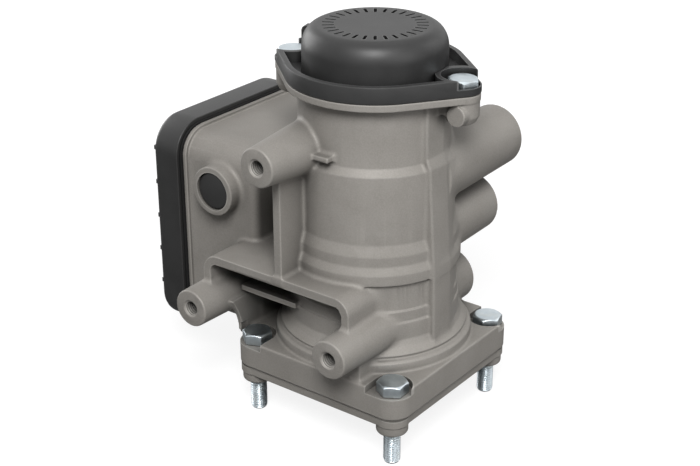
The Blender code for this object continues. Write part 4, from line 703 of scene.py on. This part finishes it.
def cast_finish():
    """Shot-blasted casting: cloudy grey with a fine grain, with a painted highlight on its edges and painted shade in
    its hollows.
    """
    n = Nodes("cast_aluminium")
    cloud = n.noise(38, 4)
    stain = n.noise(120, 5)
    grain = n.noise(1500, 2, 0.7)
    speck = n.noise(3200, 1)
    colour = n.mix(n.ramp(cloud, 0.3, 0.7), (0.225, 0.211, 0.193), (0.262, 0.248, 0.229))
    colour = n.mix(n.ramp(stain, 0.5, 0.8, 0.0, 0.35), colour, (0.19, 0.178, 0.163))
    colour = n.mix(n.ramp(grain, 0.35, 0.65, 0.0, 0.3), colour, (0.34, 0.325, 0.3))
    # painted highlight: the casting's edges are lightened in its colour
    colour = n.mix(n.edges(0.9), colour, (0.38, 0.365, 0.34))
    # painted shade: the colour darkens towards near black in hollows, recesses and under the shelf
    colour = n.mix(n.math("MULTIPLY", n.hollows(35), 0.85), colour, (0.045, 0.043, 0.039))
    height = n.math("ADD", n.math("MULTIPLY", grain, 0.7), n.math("MULTIPLY", speck, 0.3))
    normal = n.bump(height, 0.00009, 0.55, n.bump(stain, 0.0004, 0.25))
    return n.finish(colour, n.ramp(cloud, 0.2, 0.8, 0.5, 0.62), 0.12, normal, 0.25)


def plastic_finish(name, dark, light, roughness):
    n = Nodes(name)
    cloud = n.noise(45, 3)
    grain = n.noise(2600, 2, 0.6)
    colour = n.mix(n.ramp(cloud, 0.3, 0.7), dark, light)
    # painted highlight: the plastic's edges are lightened towards four times its light colour
    colour = n.mix(n.edges(0.5), colour, tuple(4 * c for c in light))
    # painted shade: the plastic's colour darkens to near black in its hollows and crevices
    colour = n.mix(n.hollows(5), colour, (0.002, 0.002, 0.002))
    rough = n.ramp(cloud, 0.2, 0.8, roughness - 0.05, roughness + 0.06)
    return n.finish(colour, rough, 0.0, n.bump(grain, 0.00005, 0.5), 0.35)


def zinc_finish():
    n = Nodes("zinc_steel")
    cloud = n.noise(260, 4)
    colour = n.mix(n.ramp(cloud, 0.3, 0.7), (0.5, 0.56, 0.6), (0.62, 0.68, 0.71))
    colour = n.mix(n.ramp(n.noise(90, 3), 0.55, 0.7, 0.0, 0.3), colour, (0.6, 0.6, 0.54))
    return n.finish(colour, n.ramp(n.noise(260, 3), 0.3, 0.7, 0.3, 0.42), 1.0, n.bump(cloud, 0.00005, 0.3))


def metal_finish(name, dark, light, roughness):
    """Turned or drawn metal, its fine lines across Z."""
    n = Nodes(name)
    stretched = n.add("ShaderNodeMapping", {"Vector": n.place, "Scale": (1.0, 1.0, 12.0)}).outputs["Vector"]
    lines = n.noise(600, 2, 0.5, stretched)
    colour = n.mix(lines, dark, light)
    rough = n.ramp(lines, 0.3, 0.7, roughness - 0.06, roughness + 0.08)
    return n.finish(colour, rough, 1.0, n.bump(lines, 0.00003, 0.5))


def soft_finish(name, dark, light, roughness, scale):
    n = Nodes(name)
    grain = n.noise(scale, 4, 0.65)
    return n.finish(n.mix(grain, dark, light), roughness, 0.0, n.bump(grain, 0.0003, 0.6), 0.25)


def board_finish():
    n = Nodes("board_laminate")
    weave = n.add("ShaderNodeTexChecker", {"Vector": n.place, "Scale": 900.0}).outputs["Fac"]
    colour = n.mix(n.math("MULTIPLY", weave, 0.25), (0.012, 0.13, 0.05), (0.03, 0.2, 0.08))
    colour = n.mix(n.ramp(n.noise(160, 2), 0.6, 0.63, 0.0, 0.5), colour, (0.35, 0.3, 0.12))
    return n.finish(colour, 0.4, 0.0, n.bump(weave, 0.00004, 0.3))


FINISHES = {
    "cast_aluminium": cast_finish(),
    "zinc_steel": zinc_finish(),
    "black_plastic": plastic_finish("black_plastic", (0.019, 0.019, 0.019), (0.028, 0.028, 0.028), 0.42),
    "vent_plastic": plastic_finish("vent_plastic", (0.02, 0.02, 0.02), (0.03, 0.03, 0.03), 0.5),
    "damping_pack": soft_finish("damping_pack", (0.006, 0.006, 0.006), (0.03, 0.03, 0.03), 0.9, 900),
    "seal_rubber": soft_finish("seal_rubber", (0.008, 0.008, 0.008), (0.02, 0.02, 0.02), 0.75, 500),
    "turned_aluminium": metal_finish("turned_aluminium", (0.5, 0.5, 0.49), (0.66, 0.66, 0.64), 0.32),
    "plain_steel": metal_finish("plain_steel", (0.42, 0.42, 0.42), (0.58, 0.58, 0.58), 0.34),
    "sensor_steel": metal_finish("sensor_steel", (0.5, 0.5, 0.48), (0.62, 0.61, 0.58), 0.28),
    "contact_brass": metal_finish("contact_brass", (0.66, 0.5, 0.2), (0.8, 0.64, 0.32), 0.26),
    "coil_plastic": plastic_finish("coil_plastic", (0.02, 0.02, 0.024), (0.035, 0.035, 0.04), 0.42),
    "board_laminate": board_finish(),
}


def dress_cad_nodes():
    """Each CAD node that stays takes the finish of its own slot."""
    for name, node in frame["nodes"].items():
        node.data.materials.clear()
        node.data.materials.append(FINISHES[SLOTS[name]])


# Pieces that stand in for CAD nodes


def build_base_cover():
    """The plate with a stud boss at each corner; inside, a spigot, the piston's guide and the seal's groove."""
    half, top = BASE_HALF - 1.2, 4.8
    levels = ((0, 0.6), (0.2, 0.2), (0.6, 0), (top, 0))
    plate = stacked(lambda inset: rounded_rect((-half, -half), (half, half), BASE_CORNER_R - 1.2, inset), levels)
    cover = made_object("base_plate", plate)
    boss_r, bottom, edge, root = 7.5, -5, 1.4, top - 1
    turns = (QUARTER, 1.2, 0.8, 0.4, 0)
    foot = [(boss_r - edge + edge * math.cos(a), bottom + edge - edge * math.sin(a)) for a in turns]
    boss = [(0, root), (0, bottom), *foot, (boss_r, -0.6), (boss_r + 0.6, 0.2), (boss_r + 0.6, root)]
    combine(cover, "UNION", merged([turned(boss, 48, (x, y, 0)) for x, y in BASE_BOLTS]))
    combine(cover, "UNION", turned(ring_profile(29.7, 32.7, root, top + 3), 96))
    guide_r, guide_top = 12, 38
    guide = [(0, root), (guide_r, root), (guide_r, guide_top - 0.6), (guide_r - 0.6, guide_top), (0, guide_top)]
    combine(cover, "UNION", turned(guide, 64))
    holes = [rod(BOLT_HOLE_R, -7, 7, 40, place) for place in BASE_BOLTS]
    guide_bore, groove = rod(8.3, top, guide_top + 2, 48), turned(ring_profile(36, 39, 3.3, 6.8), 96)
    combine(cover, "DIFFERENCE", merged(holes), guide_bore, groove)
    finish_piece(cover, "base_cover")


def hexagon(across, low, high):
    """A hexagonal head, its corners turned down to a chamfer at the top."""
    corner_r = across / math.sqrt(3)
    points = [(corner_r * math.cos(i * math.pi / 3), corner_r * math.sin(i * math.pi / 3)) for i in range(6)]
    head = made_object("head", prism(points, low, high))
    outer_r, crown_r = corner_r + 0.5, across / 2 * 0.93
    fall = (outer_r - crown_r) * math.tan(math.radians(30))
    profile = [(0, low - 1), (outer_r, low - 1), (outer_r, high - fall), (crown_r, high), (0, high)]
    combine(head, "INTERSECT", turned(profile, 96))
    return head


def build_bolt(name, node, place, turn, seat, head_h, tip, thread_top):
    """A hexagon bolt: head, plain shank and the thread down to a chamfered tip."""
    bolt = hexagon(HEAD_ACROSS, seat, seat + head_h)
    bolt.name = name
    face_r, face_top = 6.1, seat + 1
    washer = turned([(0, seat), (face_r - 0.2, seat), (face_r, seat + 0.3), (face_r, face_top), (0, face_top)], 64)
    shank = rod(BOLT_CREST_R - 0.05, thread_top - 0.5, face_top, 40)
    thread = threaded((0, 0), "Z", 3.35, BOLT_CREST_R, tip, thread_top, BOLT_PITCH, 9, 28, 1.2)
    combine(bolt, "UNION", washer, shank)
    combine(bolt, "UNION", thread)
    soften(bolt, 0.16, 2, 28)
    apply_modifiers(bolt)
    bolt.data.transform(Matrix.Translation((place[0] * MM, place[1] * MM, 0)) @ Matrix.Rotation(turn, 4, "Z"))
    finish_piece(bolt, node, 30)


def build_bolts():
    turns = (math.radians(25), math.radians(-28), math.radians(-16), 0.0)
    for number, (place, turn) in enumerate(zip(BASE_BOLTS, turns), 1):
        build_bolt(f"long_bolt_{number}", f"base_bolt_{number}", place, turn, SPOT_Z + GAP, 5.3, -21.5, -3.0)
    for number, place in enumerate(FRAME_BOLTS, 1):
        seat = FRAME_SEAT_Z + GAP
        build_bolt(f"short_bolt_{number}", f"flange_bolt_{number}", place, FRAME_BOLT_ANGLE, seat, 4.2, 137.3, 145.5)


def build_dome():
    """The cap: a collar under the frame, a rounded edge and a flat top, with a ring of slots and a catch."""
    sweep = [QUARTER * i / 12 for i in range(13)]
    edge_w, edge_h, wall = 7.5, 10, 2
    edge_r, edge_z = DOME_R - edge_w, DOME_TOP - edge_h
    outer = [(edge_r + edge_w * math.cos(a), edge_z + edge_h * math.sin(a)) for a in sweep]
    inner = [(edge_r + (edge_w - wall) * math.cos(a), edge_z + (edge_h - wall) * math.sin(a)) for a in reversed(sweep)]
    collar_r, collar_z = DOME_R + 3, DOME_Z + 1.6
    collar = [(DOME_R - wall, DOME_Z), (collar_r, DOME_Z), (collar_r, collar_z), (DOME_R, collar_z)]
    ring_r = 17.6  # a ring of corners inside the slots, so that the flat top has no long thin faces
    top = [(ring_r, DOME_TOP), (0, DOME_TOP), (0, DOME_TOP - wall), (ring_r, DOME_TOP - wall)]
    dome = made_object("dome", turned(collar + outer + top + inner, 144))
    low, high = FRAME_TOP_Z + GAP, DOME_TOP - 3.8
    catch = [(DOME_R - 1, low), (DOME_R + 1.8, low), (DOME_R + 1.8, high - 2.2), (DOME_R + 1.3, high - 0.9)]
    catch += [(DOME_R + 0.2, high - 0.1), (DOME_R - 1.8, high), (DOME_R - 1, high - 3.6)]
    lug = prism(catch, -2, 2, "Y")
    bmesh.ops.transform(lug, matrix=Matrix.Rotation(math.radians(196), 4, "Z"), verts=lug.verts)
    combine(dome, "UNION", lug)
    slots = []
    count, half_width, near, far = 30, 0.75, 19.05, 23.45
    for i in range(count):
        ends = arc((far, 0), half_width, -QUARTER, QUARTER, 5) + arc((near, 0), half_width, QUARTER, 3 * QUARTER, 5)
        slot = prism(ends, DOME_TOP - 6, DOME_TOP + 3)
        bmesh.ops.transform(slot, matrix=Matrix.Rotation(2 * math.pi * (i + 0.5) / count, 4, "Z"), verts=slot.verts)
        slots.append(slot)
    combine(dome, "DIFFERENCE", merged(slots))
    finish_piece(dome, "silencer_dome", 32)


def build_frame():
    """The frame round the dome: a rim with a well at each bolt, and an opening that holds the dome's collar."""
    levels = ((DOME_Z, 0.3), (DOME_Z + 0.3, 0), (FRAME_TOP_Z - 0.5, 0), (FRAME_TOP_Z - 0.15, 0.15), (FRAME_TOP_Z, 0.5))
    rim = made_object("silencer_frame", stacked(lobed_outline, levels))
    combine(rim, "DIFFERENCE", prism(lobed_outline(2.6), FRAME_FLOOR_Z, FRAME_TOP_Z + 2))
    well_wall_r = 12.1
    wells = [rod(well_wall_r, FRAME_FLOOR_Z - 1, FRAME_TOP_Z, 96, place) for place in FRAME_BOLTS]
    walls = made_object("walls", merged(wells))
    combine(walls, "INTERSECT", prism(lobed_outline(1.3), DOME_Z, FRAME_TOP_Z + 2))
    combine(rim, "UNION", walls)
    recesses = []
    seat_r, well_r, below, above = 7.8, 9.9, DOME_Z - 2, FRAME_TOP_Z + 2
    for (x, y), rise in zip(FRAME_BOLTS, (1.7, 0.4)):
        step = FRAME_SEAT_Z + rise
        seat = [(0, below), (BOLT_HOLE_R, below), (BOLT_HOLE_R, FRAME_SEAT_Z), (seat_r, FRAME_SEAT_Z), (seat_r, step)]
        recesses.append(turned(seat + [(well_r, step), (well_r, above), (0, above)], 72, (x, y, 0)))
    combine(rim, "DIFFERENCE", merged(recesses))
    collar_r, collar_z, hole_r = DOME_R + 3 + GAP, DOME_Z + 1.6 + GAP, DOME_R + GAP
    opening = [(0, below), (collar_r, below), (collar_r, collar_z), (hole_r, collar_z), (hole_r, above), (0, above)]
    combine(rim, "DIFFERENCE", turned(opening, 144))
    finish_piece(rim, "silencer_flange", 32)


def lid_outline(inset):
    """The lid's outline, which stands over the box on every side."""
    over = LID_OVER
    return rounded_rect(
        (BOX_Y[0] - over, BOX_Z[0] - over), (BOX_Y[1] + over, BOX_Z[1] + over), BOX_CORNER_R + over, inset, 16
    )


def build_lid():
    """The lid: ribs across its outside, posts for its screws, and the connector's socket."""
    edge, turns = 3, (QUARTER, 1.25, 0.95, 0.65, 0.35, 0)
    levels = [(LID_X + edge - edge * math.sin(a), edge - edge * math.cos(a)) for a in turns]
    lid = made_object("box_lid", stacked(lid_outline, [*levels, (LID_RIM_X - 0.3, 0), (LID_RIM_X, 0.3)], "X"))
    combine(lid, "DIFFERENCE", prism(lid_outline(edge), LID_X + 2.8, LID_RIM_X + 3, "X"))
    rib_half, top_rib_z, rib_pitch = 1.1, 96.4, 18.2
    rib_low, rib_high = (LID_X - 0.8, BOX_Y[0] - 2.9), (LID_X + 1.4, BOX_Y[1] + 2.9)
    ribs = []
    for z in (top_rib_z - rib_pitch * i for i in range(5)):
        ribs.append(brick((*rib_low, z - rib_half), (*rib_high, z + rib_half)))
    posts = [rod(4.2, LID_X + 1.8, LID_RIM_X - GAP, 40, place, "X") for place in LID_SCREWS]
    wall = rod(13.2, LID_X - 15, LID_X + 1.8, 80, SOCKET, "X")
    combine(lid, "UNION", merged(ribs))
    combine(lid, "UNION", merged(posts), wall)
    combine(lid, "DIFFERENCE", rod(11, LID_X - 17, LID_X - 0.3, 80, SOCKET, "X"))
    holes = [rod(1.3, LID_X - 2, LID_X + 5, 24, place, "X") for place in PINS]
    head_r, hole_r, seat_x = 3.6, 2.1, LID_X + 2.3
    front, back = LID_X - 2, LID_RIM_X + 2
    profile = [(0, front), (head_r, front), (head_r, seat_x), (hole_r, seat_x), (hole_r, back), (0, back)]
    holes += [turned(profile, 40, (0, *place), "X") for place in LID_SCREWS]
    combine(lid, "DIFFERENCE", merged(holes))
    finish_piece(lid, "electronics_cover", 32)


def build_lid_seal():
    seal = made_object("lid_seal", prism(lid_outline(2.1), LID_RIM_X + GAP, BOX_RIM_X - GAP, "X"))
    combine(seal, "DIFFERENCE", prism(lid_outline(4.1), LID_RIM_X - 1, BOX_RIM_X + 1, "X"))
    finish_piece(seal, "cover_seal")


def build_lid_screws():
    """Pan-head screws with a cross recess."""
    neck_r, core_r, crest_r, pitch, length = 1.5, 1.45, 1.8, 0.8, 26.2
    under_head, neck_end = LID_X + 2, LID_X + 2.6
    head = [(0, LID_X), (1.9, LID_X), (2.7, LID_X + 0.25), (3.15, LID_X + 0.7), (3.3, LID_X + 1.3), (3.3, under_head)]
    profile = [*head, (neck_r, under_head), (neck_r, neck_end), (0, neck_end)]
    long_half, short_half, cross_x = 1.7, 0.3, (LID_X - 1, LID_X + 1.2)
    for number, (y, z) in enumerate(LID_SCREWS, 1):
        screw = made_object(f"lid_screw_{number}", turned(profile, 48, (0, y, z), "X"))
        thread = threaded((y, z), "X", core_r, crest_r, LID_X + 2.2, under_head + length, pitch, 6, 14, 0.8)
        combine(screw, "UNION", thread)
        arms = ((long_half, short_half), (short_half, long_half))
        cross = [brick((cross_x[0], y - v, z - w), (cross_x[1], y + v, z + w)) for v, w in arms]
        combine(screw, "DIFFERENCE", *cross)
        finish_piece(screw, f"cover_screw_{number}")


def build_pins():
    tip, end, pin_r = LID_X - 11, -90.1, 1.0
    profile = [(0, tip), (0.45, tip), (0.8, tip + 0.35), (pin_r, tip + 1.2), (pin_r, end), (0, end)]
    for number, place in enumerate(PINS, 1):
        finish_piece(made_object(f"plug_pin_{number}", turned(profile, 24, (0, *place), "X")), f"contact_pin_{number}")


def coil(centre, radius, wire, low, high, turns):
    """A helical spring whose wire's centre line runs from low to high."""
    rings = []
    count = round(turns * SPRING_STEPS)
    for i in range(count + 1):
        angle = 2 * math.pi * i / SPRING_STEPS
        height = low + (high - low) * i / count
        section = arc((radius, height), wire, 0, 2 * math.pi, SPRING_SIDES)[:-1]
        rings.append([(centre[0] + r * math.cos(angle), centre[1] + r * math.sin(angle), z) for r, z in section])
    return lofted(rings)


def build_springs():
    """Each spring fills its CAD node's height, with a mesh of its own. Its upper end is the fixed one; the coil is
    built at one length and does not shorten here as its joint moves.
    """
    for node, (joint, travel, wire, turns, centre_y) in SPRINGS.items():
        low, high = (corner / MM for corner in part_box(node))
        radius = (high.x - low.x) / 2 - wire
        centre = (high.x - wire - radius, centre_y)
        form = coil(centre, radius, wire, low.z + wire, high.z - wire, turns)
        spring = finish_piece(made_object(node.replace("spring", "coil"), form), node)
        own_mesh(spring)


def build_vent():
    front, back, radius = -35.6, -30.8, 9.2
    rounding = [(radius - 0.9, front), (radius - 0.3, front + 0.2), (radius, front + 0.6)]
    profile = [(0, front), *rounding, (radius, back), (0, back)]
    plug = made_object("vent_insert", turned(profile, 96, (VENT[0], 0, VENT[1]), "Y"))
    finish_piece(plug, "vent_plug")


# Stage, lights and camera


def build_stage():
    """A pale floor just under the bolts, which the camera sees as near white and the object keeps a shadow on."""
    mesh = bpy.data.meshes.new("floor")
    size, z = 3.0, -0.0217
    mesh.from_pydata([(-size, -size, z), (size, -size, z), (size, size, z), (-size, size, z)], [], [(0, 1, 2, 3)])
    floor = bpy.data.objects.new("floor", mesh)
    bpy.context.scene.collection.objects.link(floor)
    n = Nodes("floor")
    seen = n.add("ShaderNodeLightPath").outputs["Is Camera Ray"]
    n.finish(n.mix(n.noise(3, 2), (0.2, 0.2, 0.2), (0.21, 0.21, 0.21)), 0.9, 0.0, None, 0.1)
    away = n.add("ShaderNodeVectorMath", operation="LENGTH")
    n.feed(away.inputs[0], n.place)
    glow = n.ramp(away.outputs["Value"], 0.2, 0.6, 0.85, 1.0)
    n.shader.inputs["Emission Color"].default_value = (1, 1, 1, 1)
    n.feed(n.shader.inputs["Emission Strength"], n.math("MULTIPLY", seen, glow))
    mesh.materials.append(n.material)


def area_light(name, place, target, size, power):
    """A round lamp turned to the target; places in metres, power in watts."""
    data = bpy.data.lights.new(name, "AREA")
    data.shape, data.size, data.energy = "DISK", size, power
    lamp = bpy.data.objects.new(name, data)
    lamp.location = place
    lamp.rotation_mode = "QUATERNION"
    lamp.rotation_quaternion = (Vector(target) - Vector(place)).to_track_quat("-Z", "Y")
    bpy.context.scene.collection.objects.link(lamp)


def build_lights():
    """A dim world that cameras, glass and metal see as white, and five soft lamps."""
    world = bpy.data.worlds.new("studio")
    bpy.context.scene.world = world
    world.use_nodes = True
    tree = world.node_tree
    background = tree.nodes["Background"]
    background.inputs["Color"].default_value = (1, 1, 1, 1)
    paths = tree.nodes.new("ShaderNodeLightPath")
    direct = tree.nodes.new("ShaderNodeMath")
    direct.operation = "MAXIMUM"
    tree.links.new(paths.outputs["Is Camera Ray"], direct.inputs[0])
    tree.links.new(paths.outputs["Is Transmission Ray"], direct.inputs[1])
    strength = tree.nodes.new("ShaderNodeMapRange")
    strength.inputs["To Min"].default_value = 0.1
    strength.inputs["To Max"].default_value = 1.0
    shown = tree.nodes.new("ShaderNodeMath")
    shown.operation = "MAXIMUM"
    tree.links.new(direct.outputs[0], shown.inputs[0])
    tree.links.new(paths.outputs["Is Glossy Ray"], shown.inputs[1])
    tree.links.new(shown.outputs[0], strength.inputs["Value"])
    tree.links.new(strength.outputs["Result"], background.inputs["Strength"])
    area_light("key", (0.5, -0.76, 0.98), (0, 0, 0.07), 0.55, 18.0)
    area_light("fill", (1.05, -0.15, 0.45), (0, 0, 0.07), 0.8, 3.0)
    area_light("top", (-0.1, 0.2, 1.2), (0, 0, 0.1), 0.7, 1.0)
    area_light("rear", (0.75, 0.95, 0.75), (0, 0, 0.07), 0.7, 2.0)
    area_light("left", (-1.15, 0.1, 0.35), (0, 0, 0.07), 0.8, 6.0)


# The photograph's camera: its angles in degrees, place in metres, and focal length and centre in pixels
CAMERA_ANGLES, CAMERA_PLACE = (37.13287, 24.76783, -0.10806), (0.3657767, -0.5021788, 0.3554626)
PHOTO_WIDTH, PHOTO_HEIGHT = 700, 466
FOCAL_PX, CENTRE_PX = 1441.4585, (349.7344, 232.8482)
SENSOR_MM = 36


def build_camera():
    azimuth, elevation, roll = (math.radians(a) for a in CAMERA_ANGLES)
    flat = math.cos(elevation)
    back = Vector((math.sin(azimuth) * flat, -math.cos(azimuth) * flat, math.sin(elevation)))
    right = Vector((math.cos(azimuth), math.sin(azimuth), 0))
    turned_right = math.cos(roll) * right + math.sin(roll) * back.cross(right)
    data = bpy.data.cameras.new("camera")
    data.sensor_width = SENSOR_MM
    data.lens = FOCAL_PX * SENSOR_MM / PHOTO_WIDTH
    data.shift_x = (PHOTO_WIDTH / 2 - CENTRE_PX[0]) / PHOTO_WIDTH
    data.shift_y = (CENTRE_PX[1] - PHOTO_HEIGHT / 2) / PHOTO_WIDTH
    data.clip_start = 0.01
    camera = bpy.data.objects.new("camera", data)
    matrix = Matrix((turned_right, back.cross(turned_right), back)).transposed().to_4x4()
    matrix.translation = CAMERA_PLACE
    camera.matrix_world = matrix
    bpy.context.scene.collection.objects.link(camera)
    bpy.context.scene.camera = camera


build_casting()
build_base_cover()
build_bolts()
build_dome()
build_frame()
build_lid()
build_lid_seal()
build_lid_screws()
build_pins()
build_springs()
build_vent()
dress_cad_nodes()
build_stage()
build_lights()
build_camera()
bpy.context.scene.view_settings.view_transform = "Standard"
